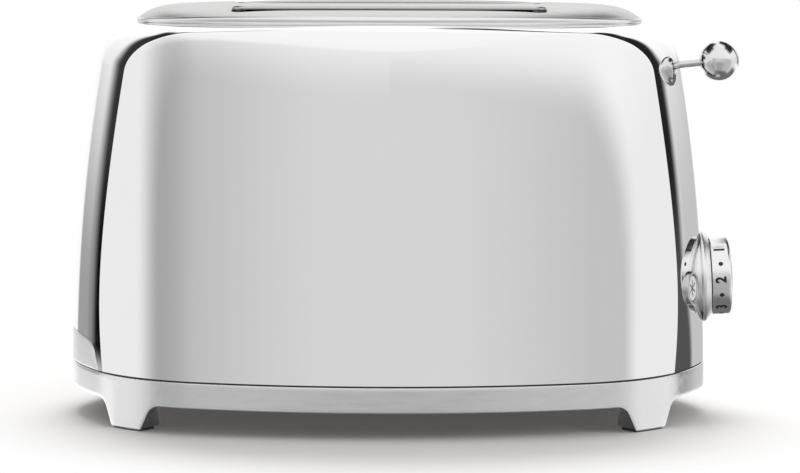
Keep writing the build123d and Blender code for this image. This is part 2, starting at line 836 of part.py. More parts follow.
def mica_board(face_y, looks):
    """A thin board that spans the end sheets."""
    back_y = face_y - looks * board_sheet
    y0 = min(face_y, back_y)
    y1 = max(face_y, back_y)
    return block(-end_inside, end_inside, y0, y1, board_bottom_z, board_top_z)


def heating_ribbon(face_y, looks):
    """One flat ribbon that runs to and fro across a board from bottom to top."""
    proud_y = face_y + looks * ribbon_thickness
    y0 = min(face_y, proud_y)
    y1 = max(face_y, proud_y)
    half = ribbon_length / 2
    ribbon = None
    for row in range(ribbon_rows):
        z = ribbon_first_z + row * ribbon_pitch
        strip = block(-half, half, y0, y1, z, z + ribbon_width)
        ribbon = strip if ribbon is None else ribbon + strip
        if row > 0:
            end = half if row % 2 else -half
            inner_end = end - ribbon_width if row % 2 else end + ribbon_width
            x0 = min(end, inner_end)
            ribbon += block(x0, x0 + ribbon_width, y0, y1, z - ribbon_pitch, z)
    return ribbon


def bread_guard(y):
    """A rack of upright wires between a hinge wire at the bottom and a rail at the top."""
    reach = end_outside + guard_hinge_overlap
    half = guard_length / 2
    guard = wire_between((-reach, y, guard_pivot_z), (reach, y, guard_pivot_z), guard_wire_radius)
    guard += wire_between((-half, y, guard_top_z), (half, y, guard_top_z), guard_wire_radius)
    span = guard_length - 4 * guard_wire_radius
    for index in range(guard_bars):
        x = -span / 2 + index * span / (guard_bars - 1)
        guard += wire_between((x, y, guard_pivot_z), (x, y, guard_top_z), guard_bar_radius)
    return guard


def bread_lifter(y):
    """A pierced shelf on a web, with an arm out through the right end sheet."""
    half = lifter_length / 2
    thick = arm_thickness / 2
    top = lifter_top_z
    under = top - lifter_thickness
    shelf = block(-half, half, y - lifter_width / 2, y + lifter_width / 2, under, top)
    pitch = (lifter_length - 2 * lifter_end_margin) / lifter_windows
    inner = thick + lifter_rim
    outer = lifter_width / 2 - lifter_rim
    window_y = (inner + outer) / 2
    window = Pos(0, 0, under) * Box(lifter_window, outer - inner, 2 * (lifter_thickness + overcut))
    for index in range(lifter_windows):
        x = (index - (lifter_windows - 1) / 2) * pitch
        for side in (-1, 1):
            shelf -= Pos(x, y + side * window_y, 0) * window
    web = block(-half, bracket_x, y - thick, y + thick, top - lifter_web_height, under)
    arm = block(half, bracket_x, y - thick, y + thick, top - lifter_web_height, top)
    return shelf + web + arm


def stem_frame():
    """Frame of the lever's stem: its origin on the shell and its Z outward along the stem."""
    rise = radians(stem_rise)
    return Plane(origin=(side_half(0, stem_exit_z), 0, stem_exit_z), z_dir=(cos(rise), 0, sin(rise))).location


def stem_inner_length():
    """Length of the stem from the shell in to the face of the bracket."""
    return (side_half(0, stem_exit_z) - bracket_face_x) / cos(radians(stem_rise))


def lever_stem():
    """Round stem from the bracket out into the ball, cut flush with the bracket."""
    inner = stem_inner_length()
    stem = stem_frame() * rod(stem_radius, -inner - stem_grip, ball_reach - ball_radius + stem_grip)
    return stem - block(0, bracket_face_x, -stem_grip, stem_grip, 0, body_length)


def lever_ball():
    """Ball knob with its blind hole for the stem."""
    ball = Pos(0, 0, ball_reach) * Sphere(ball_radius)
    ball -= rod(stem_radius, 0, ball_reach - ball_radius + stem_grip)
    return stem_frame() * ball


def carriage_bracket():
    """Upright bracket that joins both lifters, the bush, the armature and the lever."""
    bar_half = bracket_width / 2
    neck_half = bracket_neck_width / 2
    bar_top = bracket_foot_z + bracket_bar_height
    bracket = block(bracket_x, bracket_face_x, -bar_half, bar_half, bracket_foot_z, bar_top)
    bracket += block(bracket_x, bracket_face_x, -neck_half, neck_half, bar_top, bracket_head_z)
    ear_half = bush_radius + ear_margin
    ear_end = rod_x + ear_half
    for z in (bush_bottom_z, bush_bottom_z + bush_length - ear_sheet):
        ear = block(bracket_face_x, ear_end, rod_y - ear_half, rod_y + ear_half, z, z + ear_sheet)
        bracket += ear - Pos(rod_x, rod_y, 0) * rod(bush_radius, z - overcut, z + ear_sheet + overcut)
    tongue_half = armature_width / 2
    tongue_end = bracket_face_x + armature_length
    tongue_y = (armature_y - tongue_half, armature_y + tongue_half)
    return bracket + block(bracket_face_x, tongue_end, *tongue_y, bracket_foot_z, bracket_foot_z + ear_sheet)


def carriage_bush():
    """Plain bush that runs on the guide rod."""
    bush = tube(bush_radius, rod_radius + running_gap, bush_bottom_z, bush_bottom_z + bush_length)
    return Pos(rod_x, rod_y, 0) * bush


def armature_plate():
    """Soft iron plate that the latch magnet holds when the lever is down."""
    half = armature_width / 2
    end = bracket_face_x + armature_length
    low = bracket_foot_z - armature_thickness
    return block(bracket_face_x, end, armature_y - half, armature_y + half, low, bracket_foot_z)


def magnet_core():
    """Stacked core of the latch magnet, standing on the deck under the armature."""
    half = armature_width / 2
    end = bracket_face_x + armature_length
    start = bracket_face_x + magnet_start
    top = bracket_foot_z - armature_thickness - lever_travel - magnet_gap
    return block(start, end, armature_y - half, armature_y + half, deck_top_z, top)


def magnet_coil():
    """Coil wound round the core on its bobbin, one closed ring."""
    half = armature_width / 2
    start = bracket_face_x + magnet_start
    end = bracket_face_x + armature_length
    low = deck_top_z + coil_lift
    length = end - start
    middle = Pos((start + end) / 2, armature_y, low)
    grown = 2 * coil_thickness
    outer = RectangleRounded(length + grown, 2 * half + grown, coil_thickness)
    coil = extrude(outer, amount=coil_height) - extrude(Rectangle(length, 2 * half), amount=coil_height)
    return middle * coil


def guide_rod():
    """Polished rod that the carriage slides on, from the deck to the ear of the end sheet."""
    return Pos(rod_x, rod_y, 0) * rod(rod_radius, deck_top_z, chassis_top_z)


def spring_seat():
    """Collar on the guide rod that the lift spring stands on."""
    return Pos(rod_x, rod_y, 0) * tube(seat_radius, rod_radius, seat_top_z - seat_thickness, seat_top_z)


def lift_spring():
    """Compression spring round the guide rod that raises the carriage."""
    low = seat_top_z + spring_wire_radius
    height = bush_bottom_z - spring_wire_radius - low
    path = Helix(height / spring_turns, height, spring_radius)
    start = path @ 0
    section = Plane(origin=start, z_dir=path % 0) * Circle(spring_wire_radius)
    return Pos(rod_x, rod_y, low) * sweep(section, path=path, is_frenet=True)


def lever_baffle():
    """Dark strip behind the lever's slot, with a slot of its own for the stem."""
    inside = body_solid(shell_wall, shell_bottom_z - inner_drop, crease_radius - shell_wall)
    skin = Pos(-baffle_gap, 0, 0) * inside - Pos(-baffle_gap - baffle_thickness, 0, 0) * inside
    gap = lever_slot_end_gap + stem_radius
    low = stem_exit_z - lever_travel - gap - baffle_margin
    high = stem_exit_z + gap + baffle_margin
    half = baffle_width / 2
    skin &= block(chamber_half, body_length, -half, half, low, high)
    width = lever_slot_width - 2 * baffle_reveal
    return skin - lever_slot(width, lever_slot_end_gap - baffle_reveal, chamber_half, body_length)


def dial_profile():
    """Half section of the dial: a skirt, a rolled edge, a slightly crowned face and a well for the cap."""
    low = escutcheon_height + dial_gap
    top = low + dial_height
    inner = cancel_radius + moving_gap
    hub = inner + dial_hub_wall
    skirt = dial_radius - dial_skirt_wall
    roll = dial_edge_radius
    turn = roll * (1 - sqrt(0.5))
    return make_face([
        Line((shaft_radius, low), (hub, low)),
        Line((hub, low), (hub, top - dial_floor)),
        Line((hub, top - dial_floor), (skirt, top - dial_floor)),
        Line((skirt, top - dial_floor), (skirt, low)),
        Line((skirt, low), (dial_radius, low)),
        Line((dial_radius, low), (dial_radius, top - roll)),
        ThreePointArc((dial_radius, top - roll), (dial_radius - turn, top - turn), (dial_radius - roll, top)),
        Line((dial_radius - roll, top), (inner, top + dial_crown)),
        Line((inner, top + dial_crown), (inner, low + dial_floor)),
        Line((inner, low + dial_floor), (shaft_radius, low + dial_floor)),
        Line((shaft_radius, low + dial_floor), (shaft_radius, low)),
    ])


def browning_dial():
    """Round dial with the cap's well in its middle."""
    return side_frame(0, dial_z) * revolve(Plane.XZ * dial_profile(), Axis.Z)


def dial_shaft():
    """Shaft from the dial's hub into the control."""
    high = escutcheon_height + dial_gap + dial_floor
    low = -board_offset + pot_floor + moving_gap
    return side_frame(0, dial_z) * rod(shaft_radius, low, high)


def cancel_button():
    """Round cap in the middle of the dial."""
    top = escutcheon_height + dial_gap + dial_height + dial_crown + cancel_proud
    cap = rod(cancel_radius, top - cancel_height, top)
    rim = cap.edges().sort_by(Axis.Z)[-1]
    return side_frame(0, dial_z) * fillet(rim, cancel_edge_radius)


def dial_escutcheon():
    """Conical ring round the dial on a narrower seat that is cut to the shell, with a neck through it."""
    top = escutcheon_height
    floor = top - escutcheon_well_depth
    land = escutcheon_radius - escutcheon_taper
    well = dial_radius - dial_skirt_wall / 2
    profile = make_face(Polyline(
        (neck_radius / 2, -escutcheon_root), (escutcheon_seat_radius, -escutcheon_root),
        (escutcheon_seat_radius, -escutcheon_seat_drop),
        (escutcheon_radius, escutcheon_land - escutcheon_edge),
        (escutcheon_radius, escutcheon_land), (land, top), (well, top), (well - escutcheon_well_slope, floor),
        (neck_radius / 2, floor), close=True,
    ))
    ring = side_frame(0, dial_z) * revolve(Plane.XZ * profile, Axis.Z)
    ring -= body_solid(0, shell_bottom_z, crease_radius)
    neck = side_frame(0, dial_z) * rod(neck_radius, floor - dial_bush_length, floor)
    bore = side_frame(0, dial_z) * rod(dial_bush_radius, -body_depth, body_depth)
    return ring + neck - bore


def dial_bush():
    """Bush in the escutcheon's neck that the dial's shaft turns in."""
    top = escutcheon_height - escutcheon_well_depth
    bush = tube(dial_bush_radius, shaft_radius + running_gap, top - dial_bush_length, top)
    return side_frame(0, dial_z) * bush


def side_button(y):
    """Round cap of a side button with its stem."""
    cap = rod(button_radius, button_proud - button_cap_depth, button_proud)
    cap = fillet(cap.edges().sort_by(Axis.Z)[-1], button_edge_radius)
    stem = rod(button_stem_radius, -button_stem_length, button_proud - button_cap_depth)
    return side_frame(y, button_z) * (cap + stem)


def button_bezel(y):
    """Bezel round a side button: a flange cut to sit on the shell and a body through it."""
    bore = button_radius + moving_gap
    body = bore + bezel_body_wall
    frame = side_frame(y, button_z)
    flange = rod(bezel_radius, -bezel_root, bezel_proud)
    flange = fillet(flange.edges().sort_by(Axis.Z)[-1], bezel_edge_radius)
    flange = frame * flange - body_solid(0, shell_bottom_z, crease_radius)
    sleeve = frame * rod(body, -bezel_body_depth, bezel_proud)
    passage = frame * rod(bore, -body_depth, body_depth)
    return flange + sleeve - passage


def board_slab(near, far, half_width, top):
    """A slab square to the dial's axis, between two depths behind the shell, that stands on the deck."""
    slab = side_frame(0, dial_z) * block(-half_width, half_width, -dial_z, top, -far, -near)
    return slab & block(0, body_length, -body_depth, body_depth, deck_top_z, shell_crown_z)


def control_board():
    """Circuit board behind the dial and the side buttons."""
    return board_slab(board_offset, board_offset + board_thickness, board_width / 2, board_top_above_dial)


def dial_control():
    """Rotary control on the board that the dial's shaft turns in."""
    body = rod(pot_radius, -board_offset, -board_offset + pot_height)
    body -= rod(shaft_radius + running_gap, -board_offset + pot_floor, 0)
    return side_frame(0, dial_z) * body


def button_switches():
    """Two switches that stand on the board behind the side buttons."""
    half = switch_size / 2
    start = button_stem_length + button_travel + moving_gap
    front = side_frame(0, dial_z) * block(-body_depth, body_depth, -body_depth, body_depth, -board_offset, 0)
    switches = []
    for y in (-button_y, button_y):
        bar = side_frame(y, button_z) * block(-half, half, -half, half, -start - 3 * switch_size, -start)
        switches.append(bar & front)
    return switches[0] + switches[1]


def tray_runners():
    """Two angle rails between the end sheets that carry the crumb tray."""
    low = tray_floor_z - moving_gap - runner_sheet
    high = tray_floor_z + tray_depth
    rails = []
    for side in (-1, 1):
        web_in = side * runner_y
        web_out = side * (runner_y + runner_sheet)
        ledge = side * (runner_y - runner_ledge)
        start = -end_outside - runner_overhang
        web = block(start, end_inside, min(web_in, web_out), max(web_in, web_out), low, high)
        shelf = block(start, end_inside, min(ledge, web_out), max(ledge, web_out), low, low + runner_sheet)
        rails.append(web + shelf)
    return rails[0] + rails[1]


def grip_skin():
    """Limit of the grip's inner face: the body's outline, set in by the grip's thickness."""
    return body_solid(grip_thickness, shell_bottom_z - inner_drop)


def tray_grip():
    """Arched grip that closes the tray's way in and stands a little proud of the shell."""
    outer = body_solid(-grip_proud, shell_bottom_z - inner_drop)
    return (outer - grip_skin()) & grip_block(0)


def tray_pan():
    """Shallow pan that catches the crumbs, open above, fixed to the grip."""
    low = tray_floor_z
    high = low + tray_depth
    reach = -body_length / 2
    half = tray_half_width
    pan = block(reach, tray_inner_end, -half, half, low, high)
    inner = half - tray_wall
    pan -= block(reach, tray_inner_end - tray_wall, -inner, inner, low + tray_wall, high + overcut)
    front = block(reach, reach + grip_thickness + tray_front_wall, -half, half, low, high)
    return (pan + front) & grip_skin()


def board_parts():
    """Relay and capacitor on the inner face of the control board."""
    back = board_offset + board_thickness
    inner = -back - relay_depth
    low = -relay_drop - relay_size
    relay = block(-relay_y - relay_size, -relay_y, low, -relay_drop, inner, -back)
    capacitor = rod(capacitor_radius, inner, -back)
    return side_frame(0, dial_z) * (relay + Pos(relay_y + capacitor_radius, -relay_drop, 0) * capacitor)


def terminal_block():
    """Block on the deck that the mains leads are screwed to."""
    half = terminal_length / 2
    top = deck_top_z + terminal_height
    far_y = terminal_y + terminal_width
    return block(terminal_x - half, terminal_x + half, terminal_y, far_y, deck_top_z, top)


def terminal_poles_row():
    """Clamping screws on the terminal block."""
    top = deck_top_z + terminal_height
    middle_y = terminal_y + terminal_width / 2
    first = terminal_x - (terminal_poles - 1) / 2 * terminal_pole_pitch
    places = [Pos(first + index * terminal_pole_pitch, middle_y, 0) for index in range(terminal_poles)]
    pole = rod(terminal_pole_radius, top, top + terminal_pole_height)
    return Compound(children=[place * pole for place in places])


def all_pieces():
    """Every piece by the name of its file."""
    pieces = {
        "outer_shell": outer_shell(),
        "top_plate": top_plate(),
        "slot_collars": slot_collars(),
        "base_moulding": base_moulding(),
        "foot_pads": foot_pads(),
        "bottom_cover": bottom_cover(),
        "wrap_posts": wrap_posts(),
        "cord_gland": cord_gland(),
        "cover_screws": screws(cover_screw_places(), cover_bottom_z, deck_top_z),
        "chassis_left": chassis_left(),
        "chassis_right": chassis_right(),
        "chassis_screws": screws(chassis_screw_places(), deck_top_z + sheet, deck_bottom_z),
        "heat_shield_front": heat_shield(-1),
        "heat_shield_rear": heat_shield(1),
        "crumb_chute": crumb_chute(),
        "guide_rod": guide_rod(),
        "spring_seat": spring_seat(),
        "lift_spring": lift_spring(),
        "magnet_core": magnet_core(),
        "magnet_coil": magnet_coil(),
        "lever_baffle": lever_baffle(),
        "dial_escutcheon": dial_escutcheon(),
        "dial_bush": dial_bush(),
        "dial_control": dial_control(),
        "control_board": control_board(),
        "board_parts": board_parts(),
        "button_switches": button_switches(),
        "bezel_front": button_bezel(-button_y),
        "bezel_rear": button_bezel(button_y),
        "tray_runners": tray_runners(),
        "terminal_block": terminal_block(),
        "terminal_screws": terminal_poles_row(),
        "lever_ball": lever_ball(),
        "lever_stem": lever_stem(),
        "carriage_bracket": carriage_bracket(),
        "carriage_bush": carriage_bush(),
        "armature_plate": armature_plate(),
        "lifter_front": bread_lifter(-slot_y),
        "lifter_rear": bread_lifter(slot_y),
        "browning_dial": browning_dial(),
        "dial_shaft": dial_shaft(),
        "cancel_button": cancel_button(),
        "defrost_button": side_button(-button_y),
        "reheat_button": side_button(button_y),
        "tray_pan": tray_pan(),
        "tray_grip": tray_grip(),
    }
    for place, (face_y, looks) in board_places().items():
        pieces[f"mica_{place}"] = mica_board(face_y, looks)
        pieces[f"ribbon_{place}"] = heating_ribbon(face_y, looks)
    for name, (y, _) in guard_places().items():
        pieces[name] = bread_guard(y)
    return pieces


def part_middle_x():
    """X half way between the tray's grip on the left and the lever's ball on the right."""
    ball_end = side_half(0, stem_exit_z) + ball_reach * cos(radians(stem_rise)) + ball_radius
    grip_end = side_half(0, seam_z + grip_gap) + grip_proud
    return (ball_end - grip_end) / 2


def main():
    os.makedirs("parts", exist_ok=True)
    pieces = all_pieces()
    to_origin = Pos(-part_middle_x(), 0, 0)
    for name, piece in pieces.items():
        export_step(to_origin * piece, f"parts/{name}.step")
    print(len(pieces), "pieces written, moved by", round(-part_middle_x(), 4), "mm along X")


main()
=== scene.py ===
# %% [markdown]
# # A two-slot toaster, dressed from its solid model
# The solid model gives every part its place and its size. This lesson lays finished surfaces over it:
# each one is worked out with numpy as a function of two numbers, so that its shape is known exactly
# and its reflections run smoothly. Metal shows what it mirrors, so the last steps build the studio.

# %% Load the solid model
import bmesh
import bpy
import json
import numpy as np
from mathutils import Matrix, Vector

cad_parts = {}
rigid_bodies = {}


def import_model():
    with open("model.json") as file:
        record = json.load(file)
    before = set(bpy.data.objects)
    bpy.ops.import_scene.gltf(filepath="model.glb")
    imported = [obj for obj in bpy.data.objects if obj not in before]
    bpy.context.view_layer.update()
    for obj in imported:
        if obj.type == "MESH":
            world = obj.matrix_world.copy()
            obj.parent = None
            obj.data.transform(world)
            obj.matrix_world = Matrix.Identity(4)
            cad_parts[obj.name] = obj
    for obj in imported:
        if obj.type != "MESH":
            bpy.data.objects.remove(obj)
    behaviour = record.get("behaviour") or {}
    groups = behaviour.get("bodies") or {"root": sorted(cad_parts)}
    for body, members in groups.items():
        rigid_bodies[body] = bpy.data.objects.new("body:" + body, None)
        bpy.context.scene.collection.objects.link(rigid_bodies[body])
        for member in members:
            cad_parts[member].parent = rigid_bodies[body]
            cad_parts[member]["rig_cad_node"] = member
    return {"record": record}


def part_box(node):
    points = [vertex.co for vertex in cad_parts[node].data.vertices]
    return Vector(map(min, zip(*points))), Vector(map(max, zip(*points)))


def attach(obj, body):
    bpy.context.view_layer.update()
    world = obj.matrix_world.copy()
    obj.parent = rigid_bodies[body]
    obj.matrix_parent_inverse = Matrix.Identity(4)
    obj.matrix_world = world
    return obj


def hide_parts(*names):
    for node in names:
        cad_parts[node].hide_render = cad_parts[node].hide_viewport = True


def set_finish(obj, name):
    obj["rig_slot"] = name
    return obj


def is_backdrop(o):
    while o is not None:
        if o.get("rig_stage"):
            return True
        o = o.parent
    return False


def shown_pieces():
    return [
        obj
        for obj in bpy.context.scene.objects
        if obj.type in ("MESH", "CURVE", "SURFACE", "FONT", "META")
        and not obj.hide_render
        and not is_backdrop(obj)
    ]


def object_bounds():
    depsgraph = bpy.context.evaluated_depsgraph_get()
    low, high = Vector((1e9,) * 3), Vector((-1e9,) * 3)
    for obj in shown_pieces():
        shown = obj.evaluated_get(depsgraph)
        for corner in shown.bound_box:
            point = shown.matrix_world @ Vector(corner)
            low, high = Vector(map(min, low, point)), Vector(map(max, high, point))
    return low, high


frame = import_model()
model_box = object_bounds()

# %% [markdown]
# The solid model's origin lies under the middle of the whole part, lever and all. The laws of the shell
# are written about the middle of the body, so every surface is worked out there in millimetres and then
# moved along X by one number, which is read from the box of the shell.

# %% The middle of the body
MM = 0.001
shell_low, shell_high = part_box("outer_shell")
body_x = (shell_low.x + shell_high.x) / 2
TO_MODEL = Matrix.Translation((body_x, 0, 0)) @ Matrix.Scale(MM, 4)
print("middle of the body at X =", round(body_x, 5))

# %% [markdown]
# The camera stands a little over two metres away and looks down by less than seven degrees, with a long
# lens. Far and long keeps the sides nearly parallel, as in the photograph.

# %% Camera
PICTURE_PX, SENSOR_MM = 800.0, 36.0
FOCAL_PX = 4534.6        # focal length in pixels of the picture
CAMERA_BACK, CAMERA_UP, CAMERA_ACROSS = 2.1884, 0.34331, 0.0048
CAMERA_PITCH, CAMERA_ROLL = 6.7348, -0.13    # degrees down, and about the line of sight


def linked(name, data):
    """A new object of the scene that holds a mesh, some text, a lamp or the camera."""
    made = bpy.data.objects.new(name, data)
    bpy.context.scene.collection.objects.link(made)
    return made


camera_data = bpy.data.cameras.new("view")
camera_data.lens = FOCAL_PX * SENSOR_MM / PICTURE_PX
camera_data.clip_end = 50.0
camera = linked("view", camera_data)
camera.location = (body_x + CAMERA_ACROSS, -CAMERA_BACK, CAMERA_UP)
camera.rotation_euler = (np.radians(90.0 - CAMERA_PITCH), np.radians(CAMERA_ROLL), 0.0)
bpy.context.scene.camera = camera
bpy.context.scene.view_settings.view_transform = "Standard"
print("lens", round(camera_data.lens, 1), "mm")

# %% [markdown]
# A few helpers carry everything that follows. Most shapes here are tubes: rings of as many points each,
# one after another. The others put points and faces into a mesh, cut one mesh with another, and move a
# finished mesh into the model's frame and say which solid it stands for.

# %% Grids of points
def grid_faces(rows, columns, close_rows=False, close_columns=False):
    """Faces between neighbouring points of a grid that is numbered row by row."""
    i = np.arange(rows if close_rows else rows - 1)[:, None]
    j = np.arange(columns if close_columns else columns - 1)[None, :]
    next_i = (i + 1) % rows
    next_j = (j + 1) % columns
    corners = [i * columns + j, i * columns + next_j, next_i * columns + next_j, next_i * columns + j]
    return np.stack([np.broadcast_to(c, (i.size, j.size)) for c in corners], -1).reshape(-1, 4)


def levelled(flat, height):
    """Flat points with a third number: one height for all, or one for each."""
    return np.concatenate([flat, np.broadcast_to(height, len(flat))[:, None]], 1)


def tube(rings, closed=False):
    """Rings of points as a grid with its faces. A closed tube also joins its last ring to its first."""
    return np.stack(rings), grid_faces(len(rings), len(rings[0]), close_rows=closed, close_columns=True)


def ring(radius, count=64):
    """A circle as points round it."""
    turn = np.linspace(0, 2 * np.pi, count, endpoint=False)
    return np.stack([radius * np.cos(turn), radius * np.sin(turn)], -1)


def cubic(start, first, second, end, u):
    """A curve from start to end, pulled by two points between, at the shares u."""
    return (1 - u)**3 * start + 3 * u * (1 - u)**2 * first + 3 * u**2 * (1 - u) * second + u**3 * end


def unit(v):
    """Directions of unit length."""
    return v / np.maximum(np.linalg.norm(v, axis=-1, keepdims=True), 1e-12)


def outward(outline):
    """Outward directions of a flat outline that runs leftwards round, from the neighbours on both sides."""
    run_along = np.roll(outline, -1, 0) - np.roll(outline, 1, 0)
    return unit(np.stack([run_along[:, 1], -run_along[:, 0]], -1))


def joined(shapes):
    """Several grids of points with their faces as one list of points and faces."""
    points, faces, start = [], [], 0
    for shape, shape_faces in shapes:
        points.append(shape.reshape(-1, 3))
        faces.append(shape_faces + start)
        start += len(points[-1])
    return np.concatenate(points), np.concatenate(faces)


# %% Meshes and pieces
def mesh_of(name, points, faces, weld=0.002, outside=True):
    """A mesh from points in millimetres and four-cornered faces, welded where points meet."""
    points = np.asarray(points, np.float32).reshape(-1, 3)
    mesh = bpy.data.meshes.new(name)
    mesh.vertices.add(len(points))
    mesh.vertices.foreach_set("co", points.ravel())
    mesh.loops.add(faces.size)
    mesh.loops.foreach_set("vertex_index", faces.astype(np.int32).ravel())
    mesh.polygons.add(len(faces))
    mesh.polygons.foreach_set("loop_start", np.arange(0, faces.size, faces.shape[1], dtype=np.int32))
    mesh.update(calc_edges=True)
    work = bmesh.new()
    work.from_mesh(mesh)
    bmesh.ops.remove_doubles(work, verts=work.verts, dist=weld)
    bmesh.ops.dissolve_degenerate(work, edges=work.edges, dist=weld / 4)
    if outside:
        bmesh.ops.recalc_face_normals(work, faces=work.faces)
    work.to_mesh(mesh)
    work.free()
    return mesh


def place(name, shape, body, slot, *nodes, crease=35.0, at=None):
    """Moves a shape or a mesh in millimetres into the model's frame, as a finished piece on a body."""
    mesh = mesh_of(name, *shape) if isinstance(shape, tuple) else shape
    if at is not None:
        mesh.transform(at)
    mesh.transform(TO_MODEL)
    mesh.polygons.foreach_set("use_smooth", np.ones(len(mesh.polygons), bool))
    if crease is not None:
        mesh.set_sharp_from_angle(angle=np.radians(crease))
    mesh.update()
    piece = linked(name, mesh)
    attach(piece, body)
    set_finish(piece, slot)
    if nodes:
        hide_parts(*nodes)
    print(f"{name}: {len(mesh.polygons)} faces")
    return piece


def worked_out(carrier):
    """The final mesh of an object that was only there to carry modifiers or text. The object goes."""
    bpy.context.view_layer.update()
    mesh = bpy.data.meshes.new_from_object(carrier.evaluated_get(bpy.context.evaluated_depsgraph_get()))
    bpy.data.objects.remove(carrier)
    return mesh


def applied(mesh, kind, **settings):
    """A mesh with a modifier applied."""
    carrier = linked("carrier", mesh)
    modifier = carrier.modifiers.new(kind, kind)
    for key, value in settings.items():
        setattr(modifier, key, value)
    return worked_out(carrier)


def cut(mesh, cutter_shapes):
    """A closed mesh less the closed shapes of a list."""
    cutter = linked("cutter", mesh_of("cutter", *joined(cutter_shapes)))
    result = applied(mesh, "BOOLEAN", operation="DIFFERENCE", solver="EXACT", object=cutter)
    bpy.data.objects.remove(cutter)
    return result


print("helpers ready")

# %% [markdown]
# ## The shell
# The real shell is a strip of steel bent round the sides and the top, welded to two domed faces and then
# polished, so the two surfaces meet in a crisp edge. It could be cut from a block with a bevel, but the
# chrome would show every wobble. Here each surface is a formula: the strip is an arch of five arcs that
# shrinks towards front and back, and the face is a plan curve that leans back as it rises.

# %% The arch of the strip
BODY_HALF = 153.4
CROWN = 194.5
SIDE_RADIUS, SIDE_PLUMB = 880.0, 20.0
SIDE_SLOPE, SIDE_ROUND = 0.59, 30.0        # of the hyperbola that the side follows in plan
SHOULDER_RADIUS, SHOULDER_GROWTH, CROWN_RADIUS = 23.0, 13.0, 1600.0
BAND_HALF = 104.76       # depth at which the shoulder has grown by all of that
SEAM, SHELL_BOTTOM = 25.0, 25.8
CROWN_SHARE, SHOULDER_SHARE = 0.38, 0.56   # shares of the arch's parameter


def side_reach(y):
    """Half length of the body at a depth: it falls back from the middle as a hyperbola."""
    return BODY_HALF - SIDE_SLOPE * (np.hypot(y, SIDE_ROUND) - SIDE_ROUND)


def side_x(y, z):
    """X of the right side at a place on it."""
    return side_reach(y) - SIDE_RADIUS + np.sqrt(SIDE_RADIUS**2 - (z - SIDE_PLUMB)**2)


def crown_fall(y):
    """How far the top of the strip has fallen at a depth: hardly in the middle, fast near the faces."""
    return 3.0 * (y / 76.0)**6


def crown_radius(y):
    """Radius of the top seen from the front: long in the middle of the body, shorter towards the faces."""
    return CROWN_RADIUS / (1 + 0.95 * (y / 66.0)**4)


def shoulder_radius(y):
    """Radius between side and top: it grows towards the faces with the square of the depth."""
    return SHOULDER_RADIUS + SHOULDER_GROWTH * (y / BAND_HALF)**2


def shoulder_centre(half, top, radius, crown):
    """Where a circle of the shoulder's radius touches both the side's circle and the crown's, from inside."""
    ax, az, ra = half - SIDE_RADIUS, SIDE_PLUMB, SIDE_RADIUS - radius
    bx, bz, rb = 0.0 * half, top - crown, crown - radius
    dx, dz = bx - ax, bz - az
    apart = np.hypot(dx, dz)
    along = (ra**2 - rb**2 + apart**2) / (2 * apart)
    off = np.sqrt(ra**2 - along**2)
    first = (ax + (along * dx + off * dz) / apart, az + (along * dz - off * dx) / apart)
    other = (ax + (along * dx - off * dz) / apart, az + (along * dz + off * dx) / apart)
    return np.where(first[0] > other[0], first, other)


def strip(t, y, low=SHELL_BOTTOM):
    """X and Z of the arch at depth y. t runs from -1 at the left foot over 0 at the top to 1."""
    t, y = np.broadcast_arrays(np.asarray(t, float), np.asarray(y, float))
    a = np.abs(t)
    half, top, radius, crown = side_reach(y), CROWN - crown_fall(y), shoulder_radius(y), crown_radius(y)
    cx, cz = shoulder_centre(half, top, radius, crown)
    crown_end = np.arctan2(cx, cz - (top - crown))
    side_end = np.arctan2(cz - SIDE_PLUMB, cx - (half - SIDE_RADIUS))
    foot = np.arcsin((low - SIDE_PLUMB) / SIDE_RADIUS)
    crown_angle = crown_end * a / CROWN_SHARE
    share = (a - CROWN_SHARE) / (SHOULDER_SHARE - CROWN_SHARE)
    shoulder_angle = crown_end + (np.pi / 2 - side_end - crown_end) * share
    side_angle = side_end + (foot - side_end) * (a - SHOULDER_SHARE) / (1 - SHOULDER_SHARE)
    parts = [a < CROWN_SHARE, a < SHOULDER_SHARE]
    x = np.select(parts, [crown * np.sin(crown_angle), cx + radius * np.sin(shoulder_angle)],
                  half - SIDE_RADIUS + SIDE_RADIUS * np.cos(side_angle))
    z = np.select(parts, [top - crown + crown * np.cos(crown_angle), cz + radius * np.cos(shoulder_angle)],
                  SIDE_PLUMB + SIDE_RADIUS * np.sin(side_angle))
    return np.sign(t) * x, z


print("crown ends at X =", np.round(strip(CROWN_SHARE, 0.0)[0], 1))

# %% The domed face
FACE_HALF = 97.0
FACE_SLOPE, FACE_BOW = 0.061, 1346.0       # how the face leans back: a slope, and the radius of a bow
FACE_RADIUS, CHEEK_RADIUS = 320.0, 84.0
FACE_ARC, CHEEK_ARC = np.radians(16.5), np.radians(58.0)
FACE_X = FACE_RADIUS * np.sin(FACE_ARC)
CHEEK_X = FACE_X + CHEEK_RADIUS * (np.sin(CHEEK_ARC) - np.sin(FACE_ARC))


def face_turn(x):
    """Angle of the face's plan curve at a distance from the middle: a wide arc, a tight one, then straight."""
    x = np.abs(x)
    wide = np.arcsin(np.clip(x / FACE_RADIUS, 0, np.sin(FACE_ARC)))
    tight = np.arcsin(np.clip(np.sin(FACE_ARC) + (x - FACE_X) / CHEEK_RADIUS, 0, np.sin(CHEEK_ARC)))
    return np.where(x < FACE_X, wide, tight)


def face_fall(x):
    """How far the plan curve has come back from the middle of the face."""
    turn = face_turn(x)
    wide = FACE_RADIUS * (1 - np.cos(turn))
    tight = FACE_RADIUS * (1 - np.cos(FACE_ARC)) + CHEEK_RADIUS * (np.cos(FACE_ARC) - np.cos(turn))
    beyond = np.maximum(np.abs(x) - CHEEK_X, 0) * np.tan(CHEEK_ARC)
    return np.where(np.abs(x) < FACE_X, wide, tight) + beyond


